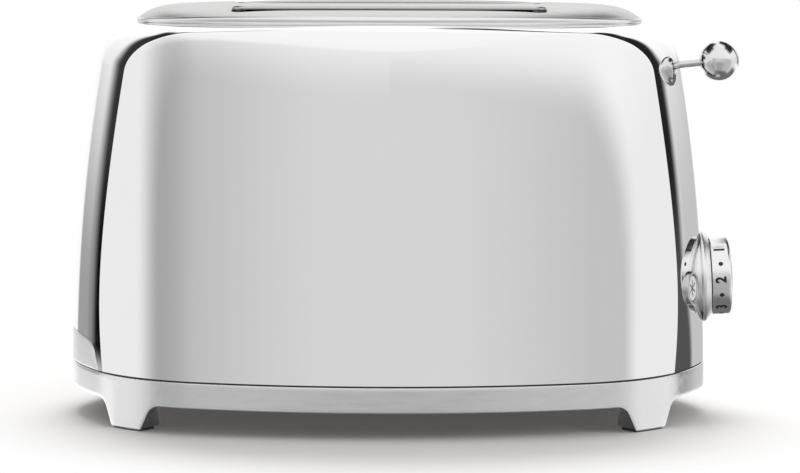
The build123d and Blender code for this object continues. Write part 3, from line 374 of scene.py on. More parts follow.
def face_lean(z):
    """How far the face has leaned back at a height: a slope and a slight bow."""
    rise = z - SEAM
    return FACE_SLOPE * rise + rise**2 / (2 * FACE_BOW)


def face_reach(x, z):
    """Distance of the face from the middle plane at a place seen from the front."""
    return FACE_HALF - face_lean(z) - face_fall(x)


def face_normal(x, z):
    """Outward direction of the front face: square to the slopes of its two curves."""
    turn = face_turn(x) * np.sign(x)
    return unit(np.stack([np.tan(turn), -np.ones_like(turn), FACE_SLOPE + (z - SEAM) / FACE_BOW], -1))


print("half depth at the seam", face_reach(0.0, SEAM))

# %% The edge where they meet
def crease_depth(t, low=SHELL_BOTTOM):
    """Depth at which the strip meets the face, found by halving an interval sixty times."""
    near, far = np.full_like(t, 3.5), np.full_like(t, FACE_HALF)
    for _ in range(60):
        middle = (near + far) / 2
        x, z = strip(t, middle, low)
        inside = middle < face_reach(x, z)
        near, far = np.where(inside, middle, near), np.where(inside, far, middle)
    return (near + far) / 2


def spread(*stations):
    """Numbers from one station to the next: pairs of a station and how many steps lead to it."""
    parts = [np.array([stations[0]])]
    for (value, count) in stations[1:]:
        parts.append(np.linspace(parts[-1][-1], value, count + 1)[1:])
    return np.concatenate(parts)


arch_t = spread(-1.0, (-SHOULDER_SHARE, 56), (-CROWN_SHARE, 26), (0.0, 46), (CROWN_SHARE, 46),
                (SHOULDER_SHARE, 26), (1.0, 56))
crease_y = crease_depth(arch_t)
print("crease at the foot", round(float(crease_y[0]), 1), "and at the top", round(float(crease_y.max()), 1))

# %% [markdown]
# The crisp edge isn't a knife: at the sides its rounding is about a millimetre, and over the top it opens
# into a soft roll. A Bezier curve across the edge, one for every station of the arch, gives that
# changing radius without a modifier.

# %% Rounding of the edge
HEART = np.array([0.0, 0.0, 60.0])     # a place well inside the body


def strip_points(t, y, low=SHELL_BOTTOM):
    """Points of the strip as rows of X, Y, Z."""
    x, z = strip(t, y, low)
    return np.stack([x, np.broadcast_to(y, x.shape), z], -1)


def strip_normal(t, y):
    """Outward direction of the strip, from points a little way off along both of its parameters."""
    along = strip_points(t + 1e-4, y) - strip_points(t - 1e-4, y)
    across = strip_points(t, y + 0.01) - strip_points(t, y - 0.01)
    normal = unit(np.cross(across, along))
    return normal * np.sign(np.sum(normal * (strip_points(t, y) - HEART), -1, keepdims=True))


def roll_radius(t):
    """Radius of the rounding: about a millimetre at the sides, opening over the top."""
    top = np.clip(1 - np.abs(t) / (CROWN_SHARE * 1.02), 0, 1)
    return 1.2 + 10.3 * top**2 * (3 - 2 * top)


edge = strip_points(arch_t, -crease_y)
strip_out = strip_normal(arch_t, -crease_y)
face_out = face_normal(edge[:, 0], edge[:, 2])
turn_between = np.arccos(np.clip(np.sum(strip_out * face_out, -1), -1, 1))
setback = np.maximum(roll_radius(arch_t) * np.tan(turn_between / 2), 0.3)
run = unit(np.gradient(edge, axis=0))
into_face = unit(np.cross(run, face_out))
into_face *= np.sign(np.sum(into_face * (HEART - edge), -1, keepdims=True))
face_rim = edge + into_face * setback[:, None]
face_rim[[0, -1], 2] = SHELL_BOTTOM
face_rim[:, 1] = -face_reach(face_rim[:, 0], face_rim[:, 2])
strip_rim_y = crease_y - setback
strip_rim = strip_points(arch_t, -strip_rim_y)
print("edge turns by", np.round(np.degrees(turn_between[[0, 60, 100, 128]]), 1), "degrees")

# %% The whole outer skin
def front_half(rows=46, steps=8, towards=0.62):
    """Columns of the front: from the bottom edge up over the face, round the edge and on to the strip."""
    base_x = np.linspace(face_rim[0, 0], face_rim[-1, 0], len(arch_t))
    base = np.stack([base_x, np.full_like(base_x, SHELL_BOTTOM)], -1)
    share = np.linspace(0, 1, rows)[None, :, None]
    flat = base[:, None, :] * (1 - share) + face_rim[:, None, [0, 2]] * share
    face = np.stack([flat[..., 0], -face_reach(flat[..., 0], flat[..., 1]), flat[..., 1]], -1)
    pulls = (face_rim, face_rim + towards * (edge - face_rim),
             strip_rim + towards * (edge - strip_rim), strip_rim)
    roll = cubic(*(point[:, None, :] for point in pulls), np.linspace(0, 1, steps + 1)[None, :, None])
    return np.concatenate([face, roll[:, 1:]], axis=1)


def outer_skin():
    """One closed-up skin: front face, strip and rear face, column by column along the arch."""
    front = front_half()
    rear = front[:, ::-1] * np.array([1.0, -1.0, 1.0])
    depth = -strip_rim_y[:, None] + 2 * strip_rim_y[:, None] * np.linspace(0, 1, 23)[None, 1:-1]
    middle = strip_points(arch_t[:, None] + 0 * depth, depth)
    return np.concatenate([front, middle, rear], axis=1)


skin = outer_skin()
skin_mesh = mesh_of("shell", skin, grid_faces(skin.shape[0], skin.shape[1]), weld=0.004)
print("skin", skin.shape, "points")

# %% [markdown]
# The wall and the openings come next. Solidify gives the skin its millimetre of steel, and one cutter
# made of closed prisms opens it: the oval under the top plate, the lever's slot, the arched way of the
# crumb tray and the round holes behind the dial and the buttons.

# %% Outlines that cut
def prism(outline, low, high, axis="z"):
    """A closed prism over a flat outline. Its ends are fans of faces to their middle."""
    middle = np.broadcast_to(outline.mean(0), outline.shape)
    ends = ((middle, low), (outline, low), (outline, high), (middle, high))
    points, faces = tube([levelled(flat, level) for flat, level in ends])
    return (points[..., [2, 0, 1]] if axis == "x" else points), faces


def oval(length, depth, long_radius, count=60):
    """A flat oval of four tangent arcs, as points round it."""
    a, b = length / 2, depth / 2
    end_radius = (2 * long_radius * b - b * b - a * a) / (2 * (long_radius - a))
    reach = (a - end_radius) / (long_radius - end_radius)
    long_half = np.arcsin(reach)
    turn = np.linspace(-long_half, long_half, count)[:-1]
    long_arc = np.stack([long_radius * np.sin(turn), -long_radius * np.cos(turn) + long_radius - b], -1)
    turn = np.linspace(long_half - np.pi / 2, np.pi / 2 - long_half, count)[:-1]
    end_arc = np.stack([a - end_radius + end_radius * np.cos(turn), end_radius * np.sin(turn)], -1)
    return np.concatenate([long_arc, end_arc, -long_arc, -end_arc])


def stadium(width, low, high, count=14):
    """An upright slot with round ends, as points round it."""
    r = width / 2
    turn = np.linspace(0, np.pi, count)
    top = np.stack([r * np.cos(turn), high - r + r * np.sin(turn)], -1)
    bottom = np.stack([-r * np.cos(turn), low + r - r * np.sin(turn)], -1)
    return np.concatenate([top, bottom])


def arc_through(a, b, c, count):
    """Points of the circle arc from a through b to c, with the plane's points as complex numbers.

    With w = (c - a) / (b - a), the centre is a plus (b - a) times (w less its squared length), divided by
    2i times the imaginary part of w.
    """
    a, b, c = (complex(*point) for point in (a, b, c))
    w = (c - a) / (b - a)
    centre = a + (b - a) * (w - abs(w)**2) / (2j * w.imag)
    span = np.angle((b - centre) / (a - centre)) + np.angle((c - centre) / (b - centre))
    points = centre + (a - centre) * np.exp(1j * span * np.linspace(0, 1, count))
    return np.stack([points.real, points.imag], -1)


def grip_outline(margin, count=16):
    """The arched outline of the tray's grip, seen from the end, grown by a margin."""
    foot, shoulder = 46.0 + margin, 42.6 + margin
    corner, corner_z = 33.0 + margin * 0.7071, 39.3 + margin * 0.7071
    bend = (corner + (shoulder - corner) * 0.70, 32.0 + (corner_z - 32.0) * 0.64)
    low, top = 25.4 - margin, 41.0 + margin
    flank = np.linspace((foot, low), (shoulder, 32.0), 9)[:-1]
    curve = arc_through((shoulder, 32.0), bend, (corner, corner_z), count)[:-1]
    arch = arc_through((corner, corner_z), (0.0, top), (-corner, corner_z), 3 * count)
    right = np.concatenate([flank, curve])
    left = right[::-1] * np.array([-1.0, 1.0])
    bottom = np.linspace((-foot, low), (foot, low), 2 * count)[1:-1]
    return np.concatenate([right, arch, left, bottom])


print("oval", oval(244, 136, 180).shape, "grip", grip_outline(0).shape)

# %% Frame of the right side
def side_frame(y, z):
    """A frame on the right side: its third axis points square out of the shell, its first is level."""
    x = float(side_x(y, z))
    rise = z - SIDE_PLUMB
    falling = SIDE_SLOPE * y / np.hypot(y, SIDE_ROUND)
    out = Vector((1.0, falling, rise / np.sqrt(SIDE_RADIUS**2 - rise**2))).normalized()
    level = Vector((0, 0, 1)).cross(out).normalized()
    axes = Matrix((level, out.cross(level), out)).transposed().to_4x4()
    return Matrix.Translation((x, y, z)) @ axes


def turned(frame_matrix, points):
    """Points of a local frame in the frame of the body."""
    matrix = np.array(frame_matrix)
    return points @ matrix[:3, :3].T + matrix[:3, 3]


DIAL_Z, BUTTON_Y, BUTTON_Z = 66.0, 30.0, 63.8
DIAL_FRAME = side_frame(0.0, DIAL_Z)
BUTTON_FRAMES = {"front": side_frame(-BUTTON_Y, BUTTON_Z), "rear": side_frame(BUTTON_Y, BUTTON_Z)}
print("dial on the shell at", [round(v, 2) for v in DIAL_FRAME.translation])

# %% Cut the shell
PLATE_A, PLATE_B, PLATE_R = 122.0, 68.0, 180.0   # half length, half depth and long radius of the top plate
UNDER_PLATE = 4.5        # how far inside the plate's outline the shell ends
LEVER_SLOT = (5.0, 91.25, 176.75)      # width, lowest and highest Z
GRIP_GAP = 0.4
DIAL_HOLE, BUTTON_HOLE = 8.2, 7.9      # radii
WALL = 1.0
openings = [
    prism(oval(2 * (PLATE_A - UNDER_PLATE), 2 * (PLATE_B - UNDER_PLATE), PLATE_R - UNDER_PLATE), 176.0, 203.0),
    prism(stadium(*LEVER_SLOT), 110.0, 165.0, "x"),
    prism(grip_outline(GRIP_GAP), -165.0, -110.0, "x"),
]
for hole_frame, radius in [(DIAL_FRAME, DIAL_HOLE)] + [(where, BUTTON_HOLE) for where in BUTTON_FRAMES.values()]:
    hole, hole_faces = prism(ring(radius), -12.0, 12.0)
    openings.append((turned(hole_frame, hole), hole_faces))
shell_mesh = applied(skin_mesh, "SOLIDIFY", thickness=WALL, offset=-1.0, use_even_offset=True)
place("shell_skin", cut(shell_mesh, openings), "housing", "chrome_shell", "outer_shell", crease=40.0)

# %% [markdown]
# ## The top plate
# On the real toaster this is a pressed oval of brushed steel with a rolled rim and two long slots. It is
# level inside, rounds down to its rim and falls a little towards the back, so from the front it shows as
# one flat line over its near edge. A disc of rings that follow the oval keeps the faces even; two flared
# cutters leave the slots with rolled lips.

# %% The domed oval
PLATE_TOP = 197.9


def inside_oval(x, y):
    """Distance in from the plate's outline, an oval of four arcs: the nearest arc's radius less the reach."""
    end_radius = (2 * PLATE_R * PLATE_B - PLATE_B**2 - PLATE_A**2) / (2 * (PLATE_R - PLATE_A))
    centre = PLATE_A - end_radius
    slope = np.tan(np.arcsin(centre / (PLATE_R - end_radius)))
    past = np.abs(x) - centre
    from_end = end_radius - np.hypot(past, y)
    from_long = PLATE_R - np.hypot(x, np.abs(y) + PLATE_R - PLATE_B)
    return np.where(past > slope * np.abs(y), from_end, from_long)


def rim_top(x):
    """Height of the plate's edge: level in the middle and falling fast near the ends."""
    return 195.9 - 4.9 * np.abs(x / PLATE_A)**3.2


def plate_z(x, y):
    """Height of the plate's top: level inside, rounding down to its edge, and a little lower at the back."""
    inward = np.clip(inside_oval(x, y) / 24.0, 0, 1)
    back = np.maximum(y + 44.0, 0)**2 / 7800.0
    return rim_top(x) + (PLATE_TOP - rim_top(x)) * (1 - (1 - inward)**2.6) - back


def crown_z(x, y):
    """Height of the shell's crown under the plate."""
    return CROWN - x**2 / (2 * crown_radius(y)) - crown_fall(y)


plate_outline = oval(2 * PLATE_A, 2 * PLATE_B, PLATE_R, 70)


def plate_disc(inset=1.5):
    """Rings from a line in the middle out to just inside the bead, down and back underneath."""
    rim = plate_outline - outward(plate_outline) * inset
    heart = plate_outline * [0.44, 0.0]
    over = [heart * (1 - share) + rim * share for share in spread(0.0, (0.6, 12), (1.0, 26))]
    under = [heart * (1 - share) + rim * share for share in np.linspace(1, 0, 8)]
    return tube([levelled(xy, plate_z(*xy.T)) for xy in over]
                + [levelled(xy, crown_z(*xy.T) + 0.25) for xy in under])


def plate_bead(half=1.25):
    """The rolled edge: a full oval section swept round the plate, from the shell's crown up to its top."""
    inward = -outward(plate_outline)
    middle = plate_outline + inward * half
    top = plate_z(*middle.T) + 0.04
    low = crown_z(*plate_outline.T) - 0.3
    rings = []
    for across, up in ring(1.0, 28):
        across = np.sign(across) * np.abs(across)**0.8
        rings.append(levelled(middle + inward * half * across, (top + low) / 2 + (top - low) / 2 * up))
    return tube(rings, closed=True)


print("plate", plate_outline.shape)

# %% Slots with rolled lips
SLOT_Y = (28.5, -28.5)
SLOT_LENGTH, SLOT_WIDTH, SLOT_CORNER, COLLAR_WALL = 150.0, 31.0, 6.0, 0.8


def round_box(length, width, radius, count=10):
    """A rectangle with round corners, as points round it, with more along its straight sides."""
    points = []
    for sx, sy, start in ((1, 1, 0), (-1, 1, 90), (-1, -1, 180), (1, -1, 270)):
        turn = np.radians(start + np.linspace(0, 90, count))
        centre = np.array([sx * (length / 2 - radius), sy * (width / 2 - radius)])
        points.append(centre + radius * np.stack([np.cos(turn), np.sin(turn)], -1))
    corners = np.concatenate(points)
    dense = []
    for a, b in zip(corners, np.roll(corners, -1, 0)):
        pieces = max(1, int(np.hypot(*(b - a)) / 3.0))
        dense.append(a + (b - a) * np.linspace(0, 1, pieces, endpoint=False)[:, None])
    return np.concatenate(dense)


slot_outline = round_box(SLOT_LENGTH, SLOT_WIDTH, SLOT_CORNER)


def slot_cutter(y, lip=1.1, low=170.0, high=204.0):
    """A prism through the plate that flares at the top by a quarter round, which leaves a rolled lip."""
    out, middle = outward(slot_outline), 0 * slot_outline + [0, y]
    rings = [levelled(middle, low), levelled(slot_outline + [0, y], low)]
    for turn in np.linspace(0, np.pi / 2, 7):
        xy = slot_outline + out * lip * (1 - np.cos(turn)) + [0, y]
        rings.append(levelled(xy, plate_z(*xy.T) - lip + lip * np.sin(turn)))
    return tube(rings + [levelled(slot_outline + out * (lip + 0.02) + [0, y], high), levelled(middle, high)])


def slot_collar(y, low=186.0, under=1.6):
    """The collar that hangs down round a slot from under the plate: a closed ring of thin wall."""
    length, width = SLOT_LENGTH + 2 * COLLAR_WALL, SLOT_WIDTH + 2 * COLLAR_WALL
    inner, outer = slot_outline + [0, y], round_box(length, width, SLOT_CORNER + COLLAR_WALL) + [0, y]
    top = [levelled(xy, plate_z(*xy.T) - under) for xy in (outer, inner)]
    return tube([levelled(inner, low), levelled(outer, low), *top], closed=True)


plate_mesh = cut(mesh_of("plate", *plate_disc()), [slot_cutter(y) for y in SLOT_Y])
place("top_plate_brushed", plate_mesh, "housing", "brushed_plate", "top_plate", crease=40.0)
place("top_plate_bead", plate_bead(), "housing", "brushed_plate", "top_plate", crease=60.0)
place("slot_collars_brushed", joined([slot_collar(y) for y in SLOT_Y]), "housing", "brushed_plate",
      "slot_collars", crease=40.0)

# %% [markdown]
# ## The base
# The base is a satin casting whose four corners run down into legs with S-shaped flanks. Its wall is a
# curtain: the plan outline is followed all the way round, and at every step the lower edge hangs as low
# as the nearest leg says.

# %% Outline of the base
def eased(count):
    """Shares from 0 to 1 that are closer together at both ends, where the outline turns sharply."""
    even = np.linspace(0, 1, count)
    return 0.7 * even + 0.15 * (1 - np.cos(np.pi * even))


foot_y = float(crease_depth(np.array([1.0]), SEAM)[0])
foot_x = float(strip(1.0, foot_y, SEAM)[0])
FRONT_STEPS, SIDE_STEPS = 330, 150


def base_outline():
    """The plan of the body at the seam: two faces and two sides that meet at four corners."""
    x, y = foot_x * (2 * eased(FRONT_STEPS) - 1), foot_y * (2 * eased(SIDE_STEPS) - 1)
    front = np.stack([x, -face_reach(x, SEAM)], -1)[:-1]
    right = np.stack([strip(1.0, y, SEAM)[0], y], -1)[:-1]
    return np.concatenate([front, right, -front, -right])


def softened(outline, corners, reach=9.0):
    """The outline with each corner replaced by a cubic curve that starts and ends at a reach from it."""
    soft = outline.copy()
    along = np.cumsum(np.hypot(*(outline - np.roll(outline, 1, 0)).T))
    total = along[-1]
    for corner in corners:
        away = (along - along[corner] + total / 2) % total - total / 2
        inside = np.abs(away) < reach
        u = ((away[inside] + reach) / (2 * reach))[:, None]
        first, last = outline[np.argmin(np.abs(away + reach))], outline[np.argmin(np.abs(away - reach))]
        a, b = first + (outline[corner] - first) * 0.62, last + (outline[corner] - last) * 0.62
        soft[inside] = cubic(first, a, b, last, u)
    return soft


corner_steps = np.cumsum([0, FRONT_STEPS - 1, SIDE_STEPS - 1, FRONT_STEPS - 1])
plan = softened(base_outline(), corner_steps)
plan_out = outward(plan)
print("corner of the plan at", round(foot_x, 1), round(foot_y, 1), "with", len(plan), "steps")

# %% Legs with their S-shaped flanks
LEG_X, LEG_Y, LEG_BEARING = 120.9, 59.6, np.radians(48.0)
HEM = 12.8               # height of the lower edge between the legs
SOLE = 1.5               # height at which a leg's solid part ends


def flank_curve(foot=10.0, root=16.4, low=0.5, small=1.5, wide=8.0):
    """Half of a leg seen square on: the foot, a small rounding, a slope and a wide hollow."""
    slope = np.arctan2(HEM - low, root - foot)
    turn = np.linspace(0, slope, 8)
    foot_arc = np.stack([foot + small * (np.sin(turn) - np.tan(slope / 2)),
                         low + small * (1 - np.cos(turn))], -1)
    turn = np.linspace(slope, 0, 16)
    root_arc = np.stack([root + wide * (np.tan(slope / 2) - np.sin(turn)),
                         HEM - wide * (1 - np.cos(turn))], -1)
    return np.concatenate([[[0, low]], foot_arc, root_arc, [[60, HEM]]])


def lower_edge(points):
    """Height of the base's lower edge at places of its plan: the lowest that any leg asks for."""
    curve = flank_curve()
    height = np.full(len(points), HEM)
    for sx, sy in ((-1, -1), (-1, 1), (1, -1), (1, 1)):
        out = np.array([sx * np.cos(LEG_BEARING), sy * np.sin(LEG_BEARING)])
        away = points - np.array([sx * LEG_X, sy * LEG_Y])
        sideways = np.abs(away @ np.array([-out[1], out[0]]))
        here = np.where(away @ out > -6.0, np.interp(sideways, curve[:, 0], curve[:, 1]), HEM)
        height = np.minimum(height, here)
    return height


hem = lower_edge(plan)
print("lower edge from", hem.min(), "to", hem.max())

# %% The curtain of the base
def base_wall(soft=0.9, lip=0.45):
    """Rings down the outside of the base, round its lower edge, up behind the skirt and up the inside."""
    depth = 2.6 + 11.4 * np.clip((HEM - hem) / (HEM - SOLE), 0, 1)**0.7
    sole = np.maximum(hem, SOLE)
    rings = [(-0.6, SHELL_BOTTOM), (-0.6, SEAM), (-lip, SEAM)]
    rings += [(-lip * (1 - np.sin(a)), SEAM - lip * (1 - np.cos(a))) for a in np.linspace(0.2, np.pi / 2, 5)]
    rings += [(0.0, (SEAM - lip) * (1 - share) + (hem + soft) * share) for share in np.linspace(0, 1, 9)[1:]]
    rings += [(-soft * (1 - np.cos(a)), hem + soft * (1 - np.sin(a))) for a in np.linspace(0, np.pi / 2, 6)[1:]]
    rings += [(-1.35, hem), (-1.45, hem + 0.02), (-1.45, sole + 0.03)]
    rings += [(0.6 - depth, sole + 0.03), (-depth, sole + 0.6), (-depth, 17.0)]
    rings += [(-2.6, 19.0), (-2.6, SHELL_BOTTOM)]
    return tube([levelled(plan + plan_out * np.reshape(offset, (-1, 1)), height) for offset, height in rings],
                closed=True)


def deck():
    """The flat deck inside the base, with the wide way over the crumb tray."""
    outer = plan - plan_out * 2.4
    turn = np.arctan2(outer[:, 1], outer[:, 0])
    across, along = np.maximum(np.abs([np.sin(turn), np.cos(turn)]), 1e-6)
    window = np.minimum(76.0 / along, 38.2 / across)[:, None] * np.stack([np.cos(turn), np.sin(turn)], -1)
    corners = ((window, 19.0), (outer, 19.0), (outer, 17.0), (window, 17.0))
    return tube([levelled(xy, height) for xy, height in corners], closed=True)


def faces_inward(mesh):
    """Which faces look inwards or down, by the normal's share along the direction from the middle."""
    normals, centres = np.empty((2, len(mesh.polygons), 3))
    mesh.polygons.foreach_get("normal", normals.reshape(-1))
    mesh.polygons.foreach_get("center", centres.reshape(-1))
    out = unit(centres[:, :2] - [body_x, 0])
    return (np.sum(normals[:, :2] * out, 1) < 0.35) & (centres[:, 2] < 24.0 * MM)


def seam_shadow_ring():
    """A thin dark strip in the groove between the base and the shell, a painted shadow of the gap: a closed ring
    of square section.
    """
    corners = ((-0.5, 25.02), (-0.5, 25.78), (-1.6, 25.78), (-1.6, 25.02))
    return tube([levelled(plan + plan_out * offset, height) for offset, height in corners], closed=True)


base_mesh = mesh_of("base", *joined([base_wall(), deck()]))
base_mesh.materials.append(None)
base_mesh.materials.append(None)
base = place("base_satin", base_mesh, "housing", "satin_base", "base_moulding", crease=50.0)
# Faces that look inwards or down take the second material, a dark grey that is painted shade under the body.
painted_shade_faces = faces_inward(base_mesh)
base_mesh.polygons.foreach_set("material_index", painted_shade_faces.astype(np.int32))
print(int(painted_shade_faces.sum()), "faces of the base look inwards")
# The dark strip is a painted shadow in the seam's groove; it takes the black rubber finish.
place("seam_shadow_strip", seam_shadow_ring(), "housing", "pad_rubber", "base_moulding", crease=30.0)

# %% [markdown]
# ## The crumb tray's grip
# The grip is an arched panel low on the left end, a little proud of the shell, and it follows the shell's
# curve. Rings run in from its outline to the middle, with a rounded border first.

# %% The grip
def grip_panel(proud=0.3, thickness=3.0, border=0.8):
    """Rings from behind the panel, round its border and in to a line in the middle."""
    outline = grip_outline(0.0)
    inward = -outward(outline)
    heart = levelled(outline[:, :1] * 0.75, 32.5)
    rings = [(heart, -thickness), (outline, -thickness)]
    for turn in np.linspace(0, np.pi / 2, 7):
        rings.append((outline + inward * border * (1 - np.cos(turn)), proud - border + border * np.sin(turn)))
    rim = outline + inward * border
    rings += [(rim * (1 - share) + heart * share, proud) for share in np.linspace(0, 1, 14)[1:]]
    points, faces = tube([levelled(yz, -(side_x(*yz.T) + lift)) for yz, lift in rings])
    return points[..., [2, 0, 1]], faces


place("tray_grip_satin", grip_panel(), "crumb_tray", "grip_satin", "tray_grip")

# %% [markdown]
# ## Turned parts
# The ball, the stem, the dial, its ring and the bezels are all turned: one profile of radius and height
# swept round an axis. One function makes them all.

# %% Turning
def lathe(profile, count):
    """A profile of radius and height swept round the third axis."""
    return tube([levelled(ring(radius, count), height) for radius, height in profile])


def rounded(corners, radii, steps=6, pull=0.55):
    """A profile through corners, each rounded by its radius with a quarter-like curve."""
    corners = np.asarray(corners, float)
    out = [corners[:1]]
    for before, here, after, radius in zip(corners[:-2], corners[1:-1], corners[2:], radii):
        a = here + unit(before - here) * radius
        b = here + unit(after - here) * radius
        u = np.linspace(0, 1, steps)[:, None]
        out.append(cubic(a, a + (here - a) * pull, b + (here - b) * pull, b, u) if radius > 0 else here[None])
    return np.concatenate([*out, corners[-1:]])


STEM_RISE, STEM_Z = np.radians(6.0), 169.0
stem_axis = Vector((np.cos(STEM_RISE), 0, np.sin(STEM_RISE)))
level_axis = Vector((0, 1, 0))
stem_frame = Matrix.Translation((float(side_x(0.0, STEM_Z)), 0, STEM_Z)) @ Matrix(
    (level_axis.cross(stem_axis), level_axis, stem_axis)).transposed().to_4x4()
print("stem leaves the shell at", [round(v, 1) for v in stem_frame.translation])

# %% The lever: ball and stem
def ball_profile(radius=9.75, reach=18.9):
    """A ball with a small flat, and a rounded hole in it, where the stem enters."""
    turn = np.linspace(np.pi - np.arcsin(3.6 / radius), 0, 60)
    ball = np.stack([radius * np.sin(turn), reach + radius * np.cos(turn)], -1)
    hole = np.array([(1.9, 5.5), (1.9, 0.8), (2.1, 0.5), (2.5, 0.4), (3.2, 0.5)]) + [0, reach - radius]
    return np.concatenate([hole, ball])


STEM_PROFILE = [(0, -62.3), (1.75, -62.3), (1.75, 13.6), (0, 13.6)]
place("lever_ball_chrome", lathe(ball_profile(), 128), "lever_carriage", "knob_chrome", "lever_ball",
      at=stem_frame)
place("lever_stem_chrome", lathe(STEM_PROFILE, 48), "lever_carriage", "stem_chrome", "lever_stem",
      at=stem_frame)

# %% The dial, its ring and the cap
def dial_profile():
    """Half section of the dial: a plain wall for the numerals, a rolled edge and a dished face."""
    outer = rounded([(17.0, 4.0), (19.0, 4.0), (19.0, 13.5), (8.3, 14.0), (8.3, 7.0)], (0.5, 1.8, 0.3), 9)
    inner = [(3.0, 7.0), (3.0, 4.0), (10.3, 4.0), (10.3, 10.5), (17.0, 10.5), (17.0, 4.0)]
    return np.concatenate([outer, inner])


def ring_profile():
    """Half section of the conical ring behind the dial: a thin edge on a narrower seat, with its neck."""
    outer = rounded([(19.6, -1.2), (22.0, -0.6), (22.0, 0.8), (19.4, 3.6), (18.0, 3.6), (17.0, 1.6),
                     (5.0, 1.6), (5.0, -10.4)], (0.4, 0.5, 0.5, 0.4, 0.3, 0), 6)
    return np.concatenate([outer, [(8.0, -10.4), (8.0, -2.4), (9.0, -2.4), (19.6, -2.4), (19.6, -1.2)]])


def cap_profile():
    """The slightly domed cap in the middle of the dial."""
    return rounded([(0, 9.5), (8.0, 9.5), (8.0, 14.5), (5.0, 14.6), (0, 14.65)], (0.2, 0.8, 0.8), 7)


def seated(shape, frame_matrix, sink=0.5, beyond=8.5):
    """A turned shape whose lowest outer points are moved on to the shell, a little below its surface.

    The height h over a place (a, b) of the frame solves origin + a level + b up + h out = (side(y, z), y, z).
    """
    points, faces = shape[0].copy(), shape[1]
    out = np.array(frame_matrix)[:3, 2]
    lowest = (points[..., 2] < -2.2) & (np.hypot(points[..., 0], points[..., 1]) > beyond)
    flat = turned(frame_matrix, points[lowest] * [1, 1, 0])
    height = np.zeros(len(flat))
    for _ in range(4):
        spot = flat + height[:, None] * out
        height += (side_x(spot[:, 1], spot[:, 2]) - spot[:, 0]) * out[0]
    points[lowest, 2] = height - sink
    return points, faces


place("browning_dial_chrome", lathe(dial_profile(), 144), "dial", "dial_chrome", "browning_dial",
      at=DIAL_FRAME)
place("dial_ring_chrome", seated(lathe(ring_profile(), 144), DIAL_FRAME), "housing", "trim_chrome",
      "dial_escutcheon", at=DIAL_FRAME)
place("cancel_cap_chrome", lathe(cap_profile(), 96), "cancel", "cap_chrome", "cancel_button", at=DIAL_FRAME)

# %% The two side buttons and their bezels
def bezel_profile():
    """Half section of a bezel: a rounded flange on the shell and a sleeve through it."""
    outer = rounded([(8.2, -1.0), (8.2, 1.5), (6.5, 1.5), (6.5, -7.5)], (0.7, 0.4), 7)
    return np.concatenate([outer, [(7.7, -7.5), (7.7, -1.0), (8.2, -1.0)]])


def button_profile():
    """A cap with a slightly dished white face, on its stem."""
    return rounded([(0, -14.0), (2.0, -14.0), (2.0, -2.5), (6.2, -2.5), (6.2, 1.0), (4.6, 0.9), (0, 0.75)],
                   (0, 0, 0, 0.6, 0.6))


SIDES = (("front", "defrost"), ("rear", "reheat"))
for where, body in SIDES:
    place(f"bezel_{where}_chrome", lathe(bezel_profile(), 96), "housing", "trim_chrome", f"bezel_{where}",
          at=BUTTON_FRAMES[where])
    place(f"{body}_cap_white", lathe(button_profile(), 96), body, "button_white", f"{body}_button",
          at=BUTTON_FRAMES[where])

# %% [markdown]
# ## Numerals and icons
# The numerals run round the dial's rim with their tops towards the body. Blender's own font gives flat
# letters; each is made a mesh, sliced into narrow strips so that it can bend, and wrapped round the rim.

# %% Flat marks
def text_mesh(words, size, bolder):
    """A word as a flat mesh centred on the origin, in millimetres, with its outline grown to embolden it."""
    curve = bpy.data.curves.new("mark", "FONT")
    curve.body, curve.size, curve.offset = words, size, bolder
    curve.align_x, curve.align_y = "CENTER", "CENTER"
    return worked_out(linked("mark", curve))


def wrapped(mesh, bearing, reach=3.0, step=0.5, radius=19.04, height=8.4, stretch=0.9):
    """A flat mark cut into strips and wrapped on the dial's rim, with its top towards the body."""
    work = bmesh.new()
    work.from_mesh(mesh)
    for x in np.arange(-reach, reach, step):
        everything = work.verts[:] + work.edges[:] + work.faces[:]
        bmesh.ops.bisect_plane(work, geom=everything, plane_co=(x, 0, 0), plane_no=(1, 0, 0))
    work.to_mesh(mesh)
    work.free()
    flat = np.empty((len(mesh.vertices), 3))
    mesh.vertices.foreach_get("co", flat.reshape(-1))
    turn = np.radians(bearing) - flat[:, 0] * stretch / radius
    bent = np.stack([radius * np.cos(turn), radius * np.sin(turn), height - flat[:, 1]], -1)
    mesh.vertices.foreach_set("co", bent.astype(np.float32).ravel())
    mesh.update()
    return mesh


def merged(name, meshes):
    """Several meshes as one."""
    work = bmesh.new()
    for mesh in meshes:
        work.from_mesh(mesh)
    result = bpy.data.meshes.new(name)
    work.to_mesh(result)
    work.free()
    return result


MARK_STEP = 47.0         # degrees from one numeral to the next
marks = []
for index in range(6):
    bearing = 180.0 + (index - 1) * MARK_STEP
    marks.append(wrapped(text_mesh(str(index + 1), 7.0, 0.3), bearing))
    if index < 5:
        dot = mesh_of("dot", *lathe([(0, 0), (0.575, 0), (1.15, 0)], 32))
        marks.append(wrapped(dot, bearing + MARK_STEP / 2, reach=1.4))
place("dial_numerals", merged("numerals", marks), "dial", "dial_chrome", crease=None, at=DIAL_FRAME)

# %% Icons on the buttons
def stroke(a, b, width):
    """A flat bar with square ends between two points, as points and one face."""
    a, b = np.array(a, float), np.array(b, float)
    across = unit((b - a)[None])[0][::-1] * np.array([-1, 1]) * width / 2
    corners = np.stack([a - across, b - across, b + across, a + across])
    return levelled(corners, 0.0), np.array([[0, 1, 2, 3]])


def snowflake(radius=4.2, width=0.7):
    """Six arms, each with a pair of twigs."""
    bars = []
    for turn in np.radians(np.arange(0, 360, 60) + 30):
        out = np.array([np.cos(turn), np.sin(turn)])
        bars.append(stroke(0.06 * out, out * radius, width))
        for side in (-1, 1):
            twig = np.array([np.cos(turn + side * 0.9), np.sin(turn + side * 0.9)])
            bars.append(stroke(out * radius * 0.55, out * radius * 0.55 + twig * radius * 0.32, width))
    return joined(bars)


